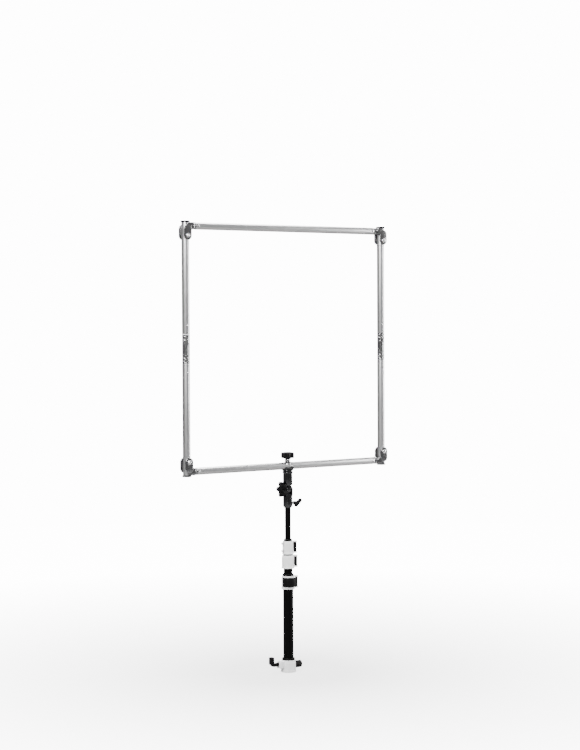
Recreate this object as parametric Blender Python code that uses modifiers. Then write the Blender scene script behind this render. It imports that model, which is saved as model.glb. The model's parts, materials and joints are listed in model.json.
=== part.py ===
"""Folding square frame on a tilting head and the upper part of a telescopic stand.

Metres, +Z up. X runs along the frame's bars, -Y is the front. The origin is the centre of the stand's flat foot.
"""

import math

import bmesh
import bpy
from mathutils import Matrix, Vector

# ---------------------------------------------------------------- driving sizes: frame
FRAME_WIDTH = 0.800  # between the axes of the side tubes
FRAME_HEIGHT = 0.800  # between the axes of the two bars
BAR_RADIUS = 0.012
BAR_WALL = 0.0015
SIDE_RADIUS = 0.0127
SIDE_WALL = 0.0015
PIVOT_DROP = 0.032  # from a bar's axis to the pivots of its side tubes
TUBE_OVERRUN = BAR_RADIUS - 0.001  # side tube past the bar's axis, to the cap
CAP_RADIUS = 0.0150
CAP_THICKNESS = 0.0055
BAND_LENGTH = 0.093  # visible dark coupler at mid height
PLUG_LENGTH = 0.050  # spigot inside a half tube
BUTTON_FROM_BAND = 0.029
RIVET_RADIUS = 0.0022
RIVET_DEPTH = 0.006
RIVET_FROM_END = 0.008
MIDDLE_RIVET_X = 0.0085
BUTTON_RADIUS = 0.0030
BUTTON_DEPTH = 0.006
BUTTON_RISE = 0.0024
BUTTON_TRAVEL = 0.0030
BAND_GROOVE = 0.0012
SEAM_GAP = 0.0010  # between the coupler and the half tube that lifts off it

# ---------------------------------------------------------------- driving sizes: corner forks
EAR_RADIUS = 0.0145
EAR_THICKNESS = 0.005
EAR_CLEARANCE = 0.0010  # side tube to ear
EAR_RISE = 0.004  # ear past the bar's axis
WEB_LENGTH = 0.011  # along the bar
SLEEVE_LENGTH = 0.011  # visible neck between web and bar
SPIGOT_LENGTH = 0.040  # inside the bar
PIVOT_BOLT_RADIUS = 0.004
BOLT_HEAD_RADIUS = 0.0070
BOLT_HEAD_HEIGHT = 0.0045

# ---------------------------------------------------------------- driving sizes: tilting head
BAR_ABOVE_PIVOT = 0.081  # from the tilt axis to the bottom bar's axis
HEAD_WIDTH = 0.026
HEAD_DEPTH = 0.026
HEAD_EDGE = 0.0045
SADDLE_WIDTH = 0.034
SADDLE_HEIGHT = 0.012
TONGUE_THICKNESS = 0.011
FORK_CLEARANCE = 0.0006
CHEEK_RADIUS = 0.0130
SHOULDER_GAP = 0.0020  # between the fork's round top and the head's shoulder
SOCKET_BELOW_PIVOT = 0.061  # from the tilt axis to the socket's open end
SOCKET_DEPTH = 0.040
STUD_RADIUS = 0.0080
STUD_LENGTH = 0.038
TILT_BOLT_RADIUS = 0.0040
TILT_KNOB_RADIUS = 0.027
TILT_KNOB_THICKNESS = 0.015
TILT_KNOB_GAP = 0.0040  # neck between the fork and the knob
SCREW_RADIUS = 0.0040
SCREW_ABOVE_END = 0.015
WING_SPAN = 0.036
WING_LEAN = 40.0
WING_HUB_END = 0.030
CLAMP_KNOB_RADIUS = 0.024
CLAMP_KNOB_THICKNESS = 0.020
CLAMP_NECK_RADIUS = 0.0095
CLAMP_NECK_HEIGHT = 0.010
CLAMP_SCREW_RADIUS = 0.0040
CLAMP_BITE = 0.022  # screw below the bar
CONE_TOP_RADIUS = 0.0080
CONE_FOOT_RADIUS = 0.0150
CONE_RISE = 0.0040  # above the bar
CONE_SKIRT = 0.0060  # below the bar's highest line

# ---------------------------------------------------------------- driving sizes: stand
BASE_HEIGHT = 0.040
BASE_RADIUS = 0.026
BUSH_HEIGHT = 0.007
COLUMN_TOP = 0.282  # underside of the lock collar on the column
COLLAR_HEIGHT = 0.044
RISER_3_SHOWN = 0.019
RISER_1_SHOWN = 0.106
TUBE_RADII = (0.0175, 0.0150, 0.0125, 0.0100)  # column, riser 3, riser 2, riser 1
TUBE_WALL = 0.0015
COLLAR_WALLS = (0.0045, 0.0058, 0.0062)  # lock collars 3, 2 and 1, outside the tube they sit on
COLLAR_SEAM = 0.0040  # between two collars that stand on each other
COLUMN_END = 0.006  # above the foot
RISER_3_END = 0.060
RISER_2_END = 0.065
RISER_1_END = 0.165
LEVER_THICKNESS = 0.0065
LEVER_HEIGHT = 0.022
PIN_RADIUS = 0.0030
LEVER_OFF = 0.0012  # closed lever to collar
LEVER_START = 6.0  # degrees past the pin where the lever's curve begins
LEVER_MIDDLE = 0.024  # lever's middle above the collar's base
LUG_HEIGHT = 0.004
LUG_RADIUS = 0.0065
EYE_RADIUS = 0.0048
PIN_SHOWN = 0.0005  # pin past each lug
PIN_OUT = 0.0065  # lever pin outside the collar
BUSH_DEPTH = 0.010  # bush inside the collar
STUD_SHOULDER = 0.012
CLAMP_BOLT_RADIUS = 0.0026
BOLT_BITE = 0.0035
CLAMP_BOLTS = {3: [(2.0, 0.0065)], 2: [], 1: [(186.0, 0.012), (186.0, 0.037)]}  # heading, height above the base
BASE_MOUTH = 0.0042  # room for the base's bush
BASE_LUG_X = 0.044
BASE_LUG_HALF = 0.0095
BASE_LUG_LOW = 0.014
BASE_LUG_TOP = 0.038
BASE_PIN_X = 0.0385
BASE_PIN_Z = 0.028
BASE_KNOB_Z = 0.022
LEVER_ARM = 0.010  # width of the bent lever
LEVER_ARM_HEIGHT = 0.012
BASE_LEVER_REACH = 0.0375
BASE_LEVER_RISE = 0.027
BASE_GRIP = 0.015

# ---------------------------------------------------------------- shared clearances
GAP = 0.0003  # between faces that touch
SLIDE_GAP = 0.0005  # between a sliding tube and what guides it
OVERLAP = 0.002  # how far joined or cut shapes run into each other
ROUND = 20  # sides of a round piece
SMALL_ROUND = 12

# ---------------------------------------------------------------- heights worked out from the above
COLLAR_3_BASE = COLUMN_TOP
COLLAR_3_TOP = COLLAR_3_BASE + COLLAR_HEIGHT
COLLAR_2_BASE = COLLAR_3_TOP + BUSH_HEIGHT + RISER_3_SHOWN
COLLAR_2_TOP = COLLAR_2_BASE + COLLAR_HEIGHT
COLLAR_1_BASE = COLLAR_2_TOP + COLLAR_SEAM
COLLAR_1_TOP = COLLAR_1_BASE + COLLAR_HEIGHT
SOCKET_END = COLLAR_1_TOP + BUSH_HEIGHT + RISER_1_SHOWN
TILT_Z = SOCKET_END + SOCKET_BELOW_PIVOT
BOTTOM_BAR_Z = TILT_Z + BAR_ABOVE_PIVOT
TOP_BAR_Z = BOTTOM_BAR_Z + FRAME_HEIGHT
MIDDLE_Z = BOTTOM_BAR_Z + FRAME_HEIGHT / 2
SIDE_X = FRAME_WIDTH / 2
WEB_START = SIDE_RADIUS + EAR_CLEARANCE
BAR_START = WEB_START + WEB_LENGTH + SLEEVE_LENGTH
EAR_INNER_Y = SIDE_RADIUS + EAR_CLEARANCE
EAR_OUTER_Y = EAR_INNER_Y + EAR_THICKNESS

FINISHES = {
    "silver_tube": ((0.62, 0.62, 0.63), 0.32, 1.0),
    "cast_metal": ((0.45, 0.45, 0.46), 0.28, 1.0),
    "dark_metal": ((0.16, 0.16, 0.17), 0.35, 1.0),
    "bright_steel": ((0.80, 0.80, 0.80), 0.18, 1.0),
    "black_plastic": ((0.015, 0.015, 0.016), 0.45, 0.0),
    "black_tube": ((0.012, 0.012, 0.013), 0.38, 0.3),
    "white_paint": ((0.85, 0.85, 0.84), 0.40, 0.0),
}


# ---------------------------------------------------------------- scene and helpers
def clear_scene():
    for item in list(bpy.data.objects):
        bpy.data.objects.remove(item, do_unlink=True)


def new_collection(name):
    collection = bpy.data.collections.new(name)
    bpy.context.scene.collection.children.link(collection)
    return collection


def make_finishes():
    """One Principled material for each finish."""
    made = {}
    for name, (colour, roughness, metallic) in FINISHES.items():
        material = bpy.data.materials.new(name)
        material.use_nodes = True
        shader = material.node_tree.nodes["Principled BSDF"]
        shader.inputs["Base Color"].default_value = (*colour, 1.0)
        shader.inputs["Roughness"].default_value = roughness
        shader.inputs["Metallic"].default_value = metallic
        made[name] = material
    return made


def put_in(item, collection):
    for old in list(item.users_collection):
        old.objects.unlink(item)
    collection.objects.link(item)


def piece(item, name, finish):
    """Names a finished sub-part, gives it its material and files it with the object's parts."""
    item.name = name
    item.data.name = name
    material = materials[finish].copy()
    material.name = name + "_finish"
    item.data.materials.clear()
    item.data.materials.append(material)
    put_in(item, parts)
    item.data.shade_smooth()
    item.data.set_sharp_from_angle(angle=math.radians(35))
    return item


def tool(item):
    """Files a cutter or a shape that a Boolean joins."""
    put_in(item, tools)
    item.hide_render = True
    item.display_type = "WIRE"
    return item


def boolean(item, other, operation):
    modifier = item.modifiers.new(operation.lower(), "BOOLEAN")
    modifier.operation = operation
    modifier.solver = "EXACT"
    modifier.object = tool(other)
    return item


def join(item, *others):
    for other in others:
        boolean(item, other, "UNION")
    return item


def cut(item, *others):
    for other in others:
        boolean(item, other, "DIFFERENCE")
    return item


def bevel(item, width, segments=1, angle=40.0):
    modifier = item.modifiers.new("edges", "BEVEL")
    modifier.width = width
    modifier.segments = segments
    modifier.limit_method = "ANGLE"
    modifier.angle_limit = math.radians(angle)
    return item


TURN_TO = {
    "X": (0.0, math.pi / 2, 0.0),
    "-X": (0.0, -math.pi / 2, 0.0),
    "Y": (-math.pi / 2, 0.0, 0.0),
    "-Y": (math.pi / 2, 0.0, 0.0),
    "Z": (0.0, 0.0, 0.0),
    "-Z": (math.pi, 0.0, 0.0),
}


def rod(radius, start, length, axis="Z", sides=ROUND):
    """A plain cylinder from the point start, length along the axis. Its origin is at start."""
    bpy.ops.mesh.primitive_cylinder_add(vertices=sides, radius=radius, depth=length)
    item = bpy.context.active_object
    item.data.transform(Matrix.Translation((0.0, 0.0, length / 2)))
    item.location = start
    item.rotation_euler = TURN_TO[axis]
    return item


def block(low, high):
    """A box between two corners, with its origin at its centre."""
    low, high = Vector(low), Vector(high)
    bpy.ops.mesh.primitive_cube_add(size=1.0, location=(low + high) / 2)
    item = bpy.context.active_object
    item.data.transform(Matrix.Diagonal((*(high - low), 1.0)))
    return item


def turned(profile, start, axis="Z", sides=ROUND):
    """A turned shape. The profile is (radius, height) from the top down the outer side, about the axis at start.

    A profile that doesn't begin on the axis is a ring: its last point joins its first.
    """
    mesh = bpy.data.meshes.new("profile")
    points = [(radius, 0.0, height) for radius, height in profile]
    edges = [(index, index + 1) for index in range(len(points) - 1)]
    if profile[0][0] > 0:
        edges.append((len(points) - 1, 0))
    mesh.from_pydata(points, edges, [])
    item = bpy.data.objects.new("turned", mesh)
    bpy.context.scene.collection.objects.link(item)
    screw = item.modifiers.new("turn", "SCREW")
    screw.steps = sides
    screw.render_steps = sides
    screw.use_merge_vertices = True
    screw.merge_threshold = 0.00001
    item.location = start
    item.rotation_euler = TURN_TO[axis]
    return item


def tube(outer, inner, start, length, axis="Z"):
    """An open tube from start, length along the axis."""
    return turned([(outer, length), (outer, 0.0), (inner, 0.0), (inner, length)], start, axis)


def meshed(item):
    """Turns a curve or a shape with modifiers into a plain welded mesh in the same place."""
    graph = bpy.context.evaluated_depsgraph_get()
    mesh = bpy.data.meshes.new_from_object(item.evaluated_get(graph))
    shape = bmesh.new()
    shape.from_mesh(mesh)
    bmesh.ops.remove_doubles(shape, verts=shape.verts, dist=0.00001)
    bmesh.ops.recalc_face_normals(shape, faces=shape.faces)
    shape.to_mesh(mesh)
    shape.free()
    made = bpy.data.objects.new("meshed", mesh)
    bpy.context.scene.collection.objects.link(made)
    made.matrix_world = item.matrix_world
    bpy.data.objects.remove(item, do_unlink=True)
    return made


def plate(outline, thickness, centre, axis="Z"):
    """A flat outline in the plane across the axis, with its thickness centred on the point centre."""
    curve = bpy.data.curves.new("outline", "CURVE")
    curve.dimensions = "2D"
    curve.fill_mode = "BOTH"
    curve.extrude = thickness / 2
    spline = curve.splines.new("POLY")
    spline.points.add(len(outline) - 1)
    for point, (across, along) in zip(spline.points, outline):
        point.co = (across, along, 0.0, 1.0)
    spline.use_cyclic_u = True
    item = bpy.data.objects.new("plate", curve)
    bpy.context.scene.collection.objects.link(item)
    item.location = centre
    item.rotation_euler = TURN_TO[axis]
    bpy.context.view_layer.update()
    return meshed(item)


def arc(centre, radius, start, end, steps):
    """Points on a circle from one angle to another, in degrees, both ends included."""
    points = []
    for step in range(steps + 1):
        angle = math.radians(start + (end - start) * step / steps)
        points.append((centre[0] + radius * math.cos(angle), centre[1] + radius * math.sin(angle)))
    return points


def lobed(radius, depth, lobes, steps=5):
    """The outline of a knob whose rim swells into lobes."""
    points = []
    for step in range(lobes * steps):
        angle = 2 * math.pi * step / (lobes * steps)
        swell = (0.5 + 0.5 * math.cos(lobes * angle)) ** 0.7
        reach = radius - depth * (1.0 - swell)
        points.append((reach * math.cos(angle), reach * math.sin(angle)))
    return points


# ---------------------------------------------------------------- frame
CORNERS = [
    ("lower_left", -1, 1),
    ("lower_right", 1, 1),
    ("upper_left", -1, -1),
    ("upper_right", 1, -1),
]  # name, side of the frame, and which way is inward from the bar


def bar_height(inward):
    return BOTTOM_BAR_Z if inward > 0 else TOP_BAR_Z


def pivot_height(inward):
    return bar_height(inward) + inward * PIVOT_DROP


def holds_coupler(side, inward):
    """The coupler stays with the lower half tube on the left and with the upper one on the right."""
    return side * inward < 0


def bar(name, height, holes):
    half = SIDE_X - BAR_START - GAP
    item = tube(BAR_RADIUS, BAR_RADIUS - BAR_WALL, (-half, 0, height), 2 * half, "X")
    cut(item, *holes)
    return piece(item, name, "silver_tube")


def rivet_hole(x, height):
    return rod(RIVET_RADIUS + GAP, (x, -BAR_RADIUS + RIVET_DEPTH + GAP, height), 2 * BAR_RADIUS, "-Y", SMALL_ROUND)


def rivet(x, height):
    """A domed rivet in the front of a bar."""
    head = RIVET_RADIUS * 1.5
    profile = [
        (0.0, RIVET_DEPTH + 0.0016),
        (head * 0.7, RIVET_DEPTH + 0.0013),
        (head, RIVET_DEPTH + GAP),
        (RIVET_RADIUS, RIVET_DEPTH + GAP),
        (RIVET_RADIUS, 0.0),
        (0.0, 0.0),
    ]
    return turned(profile, (x, -BAR_RADIUS + RIVET_DEPTH - 0.0005, height), "-Y", SMALL_ROUND)


def bolt(name, start, length, axis, shank, head, head_height, finish="bright_steel"):
    """A bolt with a domed head at start and a nut at its other end, outside the length that it clamps."""
    profile = [
        (0.0, length + head_height * 0.8),
        (head * 0.85, length + head_height * 0.8),
        (head * 0.85, length + GAP),
        (shank, length + GAP),
        (shank, -GAP),
        (head, -GAP),
        (head, -head_height * 0.45),
        (head * 0.6, -head_height * 0.92),
        (0.0, -head_height),
    ]
    return piece(turned(profile, start, axis, SMALL_ROUND), name, finish)


def corner_fork(name, side, inward):
    """Spigot and neck in the bar's end, a web, and two oblong ears that hold the side tube's pivot."""
    height = bar_height(inward)
    toward = -side
    x_axis = side * SIDE_X
    along = "X" if toward > 0 else "-X"
    round_centre = EAR_RADIUS - EAR_RISE
    oblong = arc((0, round_centre), EAR_RADIUS, 180, 360, 7) + arc((0, PIVOT_DROP), EAR_RADIUS, 0, 180, 7)
    oblong = [(x, inward * z) for x, z in oblong]
    middle = (EAR_INNER_Y + EAR_OUTER_Y) / 2
    neck_start = WEB_START + WEB_LENGTH
    fork = rod(
        BAR_RADIUS - BAR_WALL - GAP,
        (x_axis + toward * (neck_start - OVERLAP), 0, height),
        SLEEVE_LENGTH + SPIGOT_LENGTH,
        along,
    )
    neck = rod(BAR_RADIUS - 0.0006, (x_axis + toward * (neck_start - OVERLAP), 0, height), SLEEVE_LENGTH, along)
    reach = sorted((x_axis + toward * WEB_START, x_axis + toward * neck_start))
    web = block(
        (reach[0], -EAR_OUTER_Y + 0.0004, height - BAR_RADIUS + 0.0008),
        (reach[1], EAR_OUTER_Y - 0.0004, height + BAR_RADIUS - 0.0008),
    )
    bpy.context.view_layer.update()
    join(fork, neck, web)
    for front in (-1, 1):
        ear = plate(oblong, EAR_THICKNESS, (x_axis, front * middle, height), "-Y")
        reach = sorted((x_axis, x_axis + toward * (WEB_START + OVERLAP)))
        arm = block(
            (reach[0], front * middle - EAR_THICKNESS / 2 + 0.0004, height - BAR_RADIUS + 0.0012),
            (reach[1], front * middle + EAR_THICKNESS / 2 - 0.0004, height + BAR_RADIUS - 0.0012),
        )
        join(fork, ear, arm)
    pivot = (x_axis, -2 * EAR_OUTER_Y, pivot_height(inward))
    cut(fork, rod(PIVOT_BOLT_RADIUS + GAP, pivot, 4 * EAR_OUTER_Y, "Y", SMALL_ROUND))
    cut(fork, rivet_hole(x_axis + toward * (BAR_START + RIVET_FROM_END), height))
    return piece(fork, "corner_fork_" + name, "cast_metal")


def half_tube(name, side, inward):
    """One half of a side tube, from its black cap to the middle joint."""
    x_axis = side * SIDE_X
    up = "Z" if inward > 0 else "-Z"
    start = (x_axis, 0, bar_height(inward) - inward * TUBE_OVERRUN)
    clearance = GAP if holds_coupler(side, inward) else SEAM_GAP
    stop = MIDDLE_Z - inward * (BAND_LENGTH / 2 + clearance)
    length = abs(stop - start[2])
    item = tube(SIDE_RADIUS, SIDE_RADIUS - SIDE_WALL, start, length, up)
    pivot = (x_axis, -2 * SIDE_RADIUS, pivot_height(inward))
    cut(item, rod(PIVOT_BOLT_RADIUS + GAP, pivot, 4 * SIDE_RADIUS, "Y", SMALL_ROUND))
    cut(item, button_hole(x_axis, button_height(inward)))
    return piece(item, "side_tube_" + name, "silver_tube")


def button_height(inward):
    return MIDDLE_Z - inward * (BAND_LENGTH / 2 + BUTTON_FROM_BAND)


def button_hole(x, height):
    start = (x, -SIDE_RADIUS + BUTTON_DEPTH + BUTTON_TRAVEL + GAP, height)
    return rod(BUTTON_RADIUS + 1.5 * GAP, start, 2 * SIDE_RADIUS, "-Y", SMALL_ROUND)


def snap_button(name, side, inward):
    """A sprung round button that stands out of the front of the tube."""
    profile = [
        (0.0, BUTTON_DEPTH + BUTTON_RISE),
        (BUTTON_RADIUS * 0.6, BUTTON_DEPTH + BUTTON_RISE * 0.85),
        (BUTTON_RADIUS, BUTTON_DEPTH + BUTTON_RISE * 0.4),
        (BUTTON_RADIUS, 0.0),
        (0.0, 0.0),
    ]
    start = (side * SIDE_X, -SIDE_RADIUS + BUTTON_DEPTH, button_height(inward))
    return piece(turned(profile, start, "-Y", SMALL_ROUND), "snap_button_" + name, "bright_steel")


def coupler(name, side):
    """The dark band between the half tubes, with the spigot that stays in one of them."""
    inward = -side  # the half that carries it
    x_axis = side * SIDE_X
    inner = SIDE_RADIUS - SIDE_WALL - GAP
    groove = SIDE_RADIUS - BAND_GROOVE
    half = BAND_LENGTH / 2
    profile = [(0.0, half), (SIDE_RADIUS, half)]
    for edge in (half * 0.65, -half * 0.60):
        profile += [
            (SIDE_RADIUS, edge + BAND_GROOVE),
            (groove, edge),
            (groove, edge - 2 * BAND_GROOVE),
            (SIDE_RADIUS, edge - 3 * BAND_GROOVE),
        ]
    profile += [(SIDE_RADIUS, -half), (inner, -half), (inner, -half - PLUG_LENGTH), (0.0, -half - PLUG_LENGTH)]
    up = "Z" if inward > 0 else "-Z"
    item = turned(profile, (x_axis, 0, MIDDLE_Z), up)
    cut(item, button_hole(x_axis, button_height(inward)))
    return piece(item, "coupler_" + name, "dark_metal")


def coupler_plug(name, side):
    """The spigot in the half tube that comes off the coupler."""
    inward = side
    x_axis = side * SIDE_X
    up = "-Z" if inward > 0 else "Z"
    start = (x_axis, 0, MIDDLE_Z - inward * (BAND_LENGTH / 2 + SEAM_GAP))
    item = rod(SIDE_RADIUS - SIDE_WALL - GAP, start, PLUG_LENGTH, up)
    cut(item, button_hole(x_axis, button_height(inward)))
    return piece(item, "coupler_plug_" + name, "dark_metal")


def end_cap(name, side, inward):
    """A black cap with its plug in the tube's end."""
    plug = SIDE_RADIUS - SIDE_WALL - GAP
    profile = [
        (0.0, CAP_THICKNESS),
        (CAP_RADIUS - 0.0015, CAP_THICKNESS),
        (CAP_RADIUS, CAP_THICKNESS - 0.0015),
        (CAP_RADIUS, GAP),
        (plug, GAP),
        (plug, -0.010),
        (0.0, -0.010),
    ]
    start = (side * SIDE_X, 0, bar_height(inward) - inward * TUBE_OVERRUN)
    return piece(turned(profile, start, "-Z" if inward > 0 else "Z"), "end_cap_" + name, "black_plastic")


def frame_parts():
    for name, side, inward in CORNERS:
        corner_fork(name, side, inward)
        half_tube(name, side, inward)
        end_cap(name, side, inward)
        snap_button(name, side, inward)
        start = (side * SIDE_X, -EAR_OUTER_Y, pivot_height(inward))
        bolt(
            "pivot_bolt_" + name,
            start,
            2 * EAR_OUTER_Y,
            "Y",
            PIVOT_BOLT_RADIUS,
            BOLT_HEAD_RADIUS,
            BOLT_HEAD_HEIGHT,
        )
    for name, side in (("left", -1), ("right", 1)):
        coupler(name, side)
        coupler_plug(name, side)
    rivet_x = SIDE_X - BAR_START - RIVET_FROM_END
    for name, height in (("bottom", BOTTOM_BAR_Z), ("top", TOP_BAR_Z)):
        places = {"left": -rivet_x, "right": rivet_x}
        if name == "bottom":
            places["middle"] = MIDDLE_RIVET_X
        holes = [rivet_hole(x, height) for x in places.values()]
        for place, x in places.items():
            piece(rivet(x, height), "rivet_%s_%s" % (name, place), "bright_steel")
        if name == "bottom":
            hole = (0, 0, height - 2 * BAR_RADIUS)
            holes.append(rod(CLAMP_SCREW_RADIUS + GAP, hole, 4 * BAR_RADIUS, "Z", SMALL_ROUND))
        bar(name + "_bar", height, holes)


# ---------------------------------------------------------------- tilting head
def rounded_top(half_width, below, steps=10):
    """A tab seen from its side: straight up from below, with a round top about the pivot at (0, 0)."""
    return [(-half_width, -below), (half_width, -below)] + arc((0, 0), half_width, 0, 180, steps)


def tilt_head():
    """Saddle under the bar, a square neck and the tongue that turns in the fork."""
    shoulder = TILT_Z + CHEEK_RADIUS + SHOULDER_GAP
    saddle_low = BOTTOM_BAR_Z - BAR_RADIUS - SADDLE_HEIGHT / 2
    half_x, half_y = HEAD_WIDTH / 2, HEAD_DEPTH / 2
    item = bevel(block((-half_x, -half_y, shoulder), (half_x, half_y, saddle_low + OVERLAP)), HEAD_EDGE)
    saddle_top = BOTTOM_BAR_Z - BAR_RADIUS / 3
    wide_y = BAR_RADIUS + 0.0035
    saddle = block((-SADDLE_WIDTH / 2, -wide_y, saddle_low), (SADDLE_WIDTH / 2, wide_y, saddle_top))
    bevel(saddle, 0.002)
    outline = [(z, y) for y, z in rounded_top(CHEEK_RADIUS - GAP, CHEEK_RADIUS + SHOULDER_GAP + OVERLAP)]
    tongue = plate(outline, TONGUE_THICKNESS, (0, 0, TILT_Z), "X")
    join(item, saddle, tongue)
    trough = rod(BAR_RADIUS + GAP, (-SADDLE_WIDTH, 0, BOTTOM_BAR_Z), 2 * SADDLE_WIDTH, "X")
    thread = (0, 0, BOTTOM_BAR_Z - BAR_RADIUS - CLAMP_BITE - GAP)
    cut(item, trough, rod(CLAMP_SCREW_RADIUS + GAP, thread, 0.06, "Z", SMALL_ROUND))
    cut(item, rod(TILT_BOLT_RADIUS + GAP, (-HEAD_WIDTH, 0, TILT_Z), 2 * HEAD_WIDTH, "X", SMALL_ROUND))
    return piece(item, "tilt_head", "cast_metal")


def socket_body():
    """A square body with the stud's socket below and the fork for the tongue above."""
    half_x, half_y = HEAD_WIDTH / 2, HEAD_DEPTH / 2
    outline = [(-z, y) for y, z in rounded_top(half_y, SOCKET_BELOW_PIVOT)]
    item = plate(outline, HEAD_WIDTH, (0, 0, TILT_Z), "X")
    bevel(item, HEAD_EDGE * 0.5, 1, 50.0)
    slot_half = TONGUE_THICKNESS / 2 + FORK_CLEARANCE
    slot_low = TILT_Z - CHEEK_RADIUS - SHOULDER_GAP
    slot = block((-slot_half, -2 * half_y, slot_low), (slot_half, 2 * half_y, TILT_Z + 2 * CHEEK_RADIUS))
    bore = rod(STUD_RADIUS + GAP, (0, 0, SOCKET_END - OVERLAP), SOCKET_DEPTH + OVERLAP, "Z")
    screw_hole = rod(SCREW_RADIUS + GAP, (0, 0, SOCKET_END + SCREW_ABOVE_END), HEAD_WIDTH, "X", SMALL_ROUND)
    bolt_hole = rod(TILT_BOLT_RADIUS + GAP, (-2 * half_x, 0, TILT_Z), 4 * half_x, "X", SMALL_ROUND)
    cut(item, slot, bore, screw_hole, bolt_hole)
    return piece(item, "socket_body", "dark_metal")


def tilt_lock():
    """The pivot bolt of the tilting head and the star knob on its end."""
    half_x = HEAD_WIDTH / 2
    end = half_x + TILT_KNOB_GAP + TILT_KNOB_THICKNESS - 0.004
    profile = [
        (0.0, end),
        (TILT_BOLT_RADIUS, end),
        (TILT_BOLT_RADIUS, -half_x - GAP),
        (BOLT_HEAD_RADIUS, -half_x - GAP),
        (BOLT_HEAD_RADIUS, -half_x - BOLT_HEAD_HEIGHT + 0.001),
        (BOLT_HEAD_RADIUS - 0.001, -half_x - BOLT_HEAD_HEIGHT),
        (0.0, -half_x - BOLT_HEAD_HEIGHT),
    ]
    piece(turned(profile, (0, 0, TILT_Z), "-X", SMALL_ROUND), "tilt_pivot_bolt", "bright_steel")
    face = half_x + TILT_KNOB_GAP
    knob = plate(
        lobed(TILT_KNOB_RADIUS, 0.009, 5),
        TILT_KNOB_THICKNESS,
        (-face - TILT_KNOB_THICKNESS / 2, 0, TILT_Z),
        "-X",
    )
    bevel(knob, 0.002, 1, 60.0)
    neck = rod(0.010, (-half_x - GAP, 0, TILT_Z), TILT_KNOB_GAP + OVERLAP, "-X")
    join(knob, neck)
    depth = TILT_KNOB_GAP + TILT_KNOB_THICKNESS - 0.003
    cut(knob, rod(TILT_BOLT_RADIUS + GAP, (-half_x + OVERLAP, 0, TILT_Z), depth + OVERLAP, "-X", SMALL_ROUND))
    piece(knob, "tilt_knob", "black_plastic")


def wing_screw():
    """The screw that holds the stud, with its slanting wing."""
    height = SOCKET_END + SCREW_ABOVE_END
    collar_x = HEAD_WIDTH / 2 + 0.003
    tip = STUD_RADIUS + GAP
    profile = [
        (0.0, WING_HUB_END - tip),
        (0.006, WING_HUB_END - tip),
        (0.006, collar_x - tip),
        (SCREW_RADIUS, collar_x - tip),
        (SCREW_RADIUS, 0.0),
        (0.0, 0.0),
    ]
    item = turned(profile, (tip, 0, height), "X", SMALL_ROUND)
    half = WING_SPAN / 2
    blade = arc((half - 0.006, 0), 0.006, -90, 90, 6) + arc((-half + 0.008, 0), 0.008, 90, 270, 6)
    lean = math.radians(WING_LEAN)
    blade = [
        (x * math.cos(lean) - z * math.sin(lean), x * math.sin(lean) + z * math.cos(lean)) for x, z in blade
    ]
    wing = plate(blade, 0.007, (WING_HUB_END + 0.004, 0, height), "-Y")
    join(item, bevel(wing, 0.0015, 1, 50.0))
    return piece(item, "wing_screw", "black_plastic")


def bar_clamp():
    """Cone washer on the bar, and the screw through the bar with its lobed knob."""
    top = BOTTOM_BAR_Z + BAR_RADIUS + CONE_RISE
    skirt = BOTTOM_BAR_Z + BAR_RADIUS - CONE_SKIRT
    bore = CLAMP_SCREW_RADIUS + GAP
    profile = [(CONE_TOP_RADIUS, top), (CONE_FOOT_RADIUS, skirt), (bore, skirt), (bore, top)]
    cone = turned(profile, (0, 0, 0), "Z")
    cut(cone, rod(BAR_RADIUS + GAP, (-SADDLE_WIDTH, 0, BOTTOM_BAR_Z), 2 * SADDLE_WIDTH, "X"))
    piece(cone, "cone_washer", "bright_steel")
    foot = top + GAP
    under = foot + CLAMP_NECK_HEIGHT
    knob = plate(
        lobed(CLAMP_KNOB_RADIUS, 0.006, 6),
        CLAMP_KNOB_THICKNESS,
        (0, 0, under + CLAMP_KNOB_THICKNESS / 2),
        "Z",
    )
    bevel(knob, 0.0025, 1, 60.0)
    neck = rod(CLAMP_NECK_RADIUS, (0, 0, foot), CLAMP_NECK_HEIGHT + OVERLAP, "Z")
    join(knob, neck)
    depth = CLAMP_NECK_HEIGHT + CLAMP_KNOB_THICKNESS - 0.005
    cut(knob, rod(CLAMP_SCREW_RADIUS + GAP, (0, 0, foot - OVERLAP), depth + OVERLAP, "Z", SMALL_ROUND))
    piece(knob, "clamp_knob", "black_plastic")
    low = BOTTOM_BAR_Z - BAR_RADIUS - CLAMP_BITE
    screw = rod(CLAMP_SCREW_RADIUS, (0, 0, low), foot + depth - GAP - low, "Z", SMALL_ROUND)
    piece(screw, "clamp_screw", "bright_steel")


def head_parts():
    tilt_head()
    socket_body()
    tilt_lock()
    wing_screw()
    bar_clamp()


# ---------------------------------------------------------------- stand
COLLARS = [
    # number, base height, outer tube, side of the wrap, heading of the pin, degrees that the lever wraps
    (3, COLLAR_3_BASE, 0, -1, -22.0, 145.0),
    (2, COLLAR_2_BASE, 1, 1, -22.0, 100.0),
    (1, COLLAR_1_BASE, 2, 1, -22.0, 100.0),
]


def heading(radius, angle, height=0.0):
    turn = math.radians(angle)
    return Vector((radius * math.cos(turn), radius * math.sin(turn), height))


def collar_radius(number):
    outer_tube = 3 - number
    return TUBE_RADII[outer_tube] + COLLAR_WALLS[outer_tube]


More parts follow.
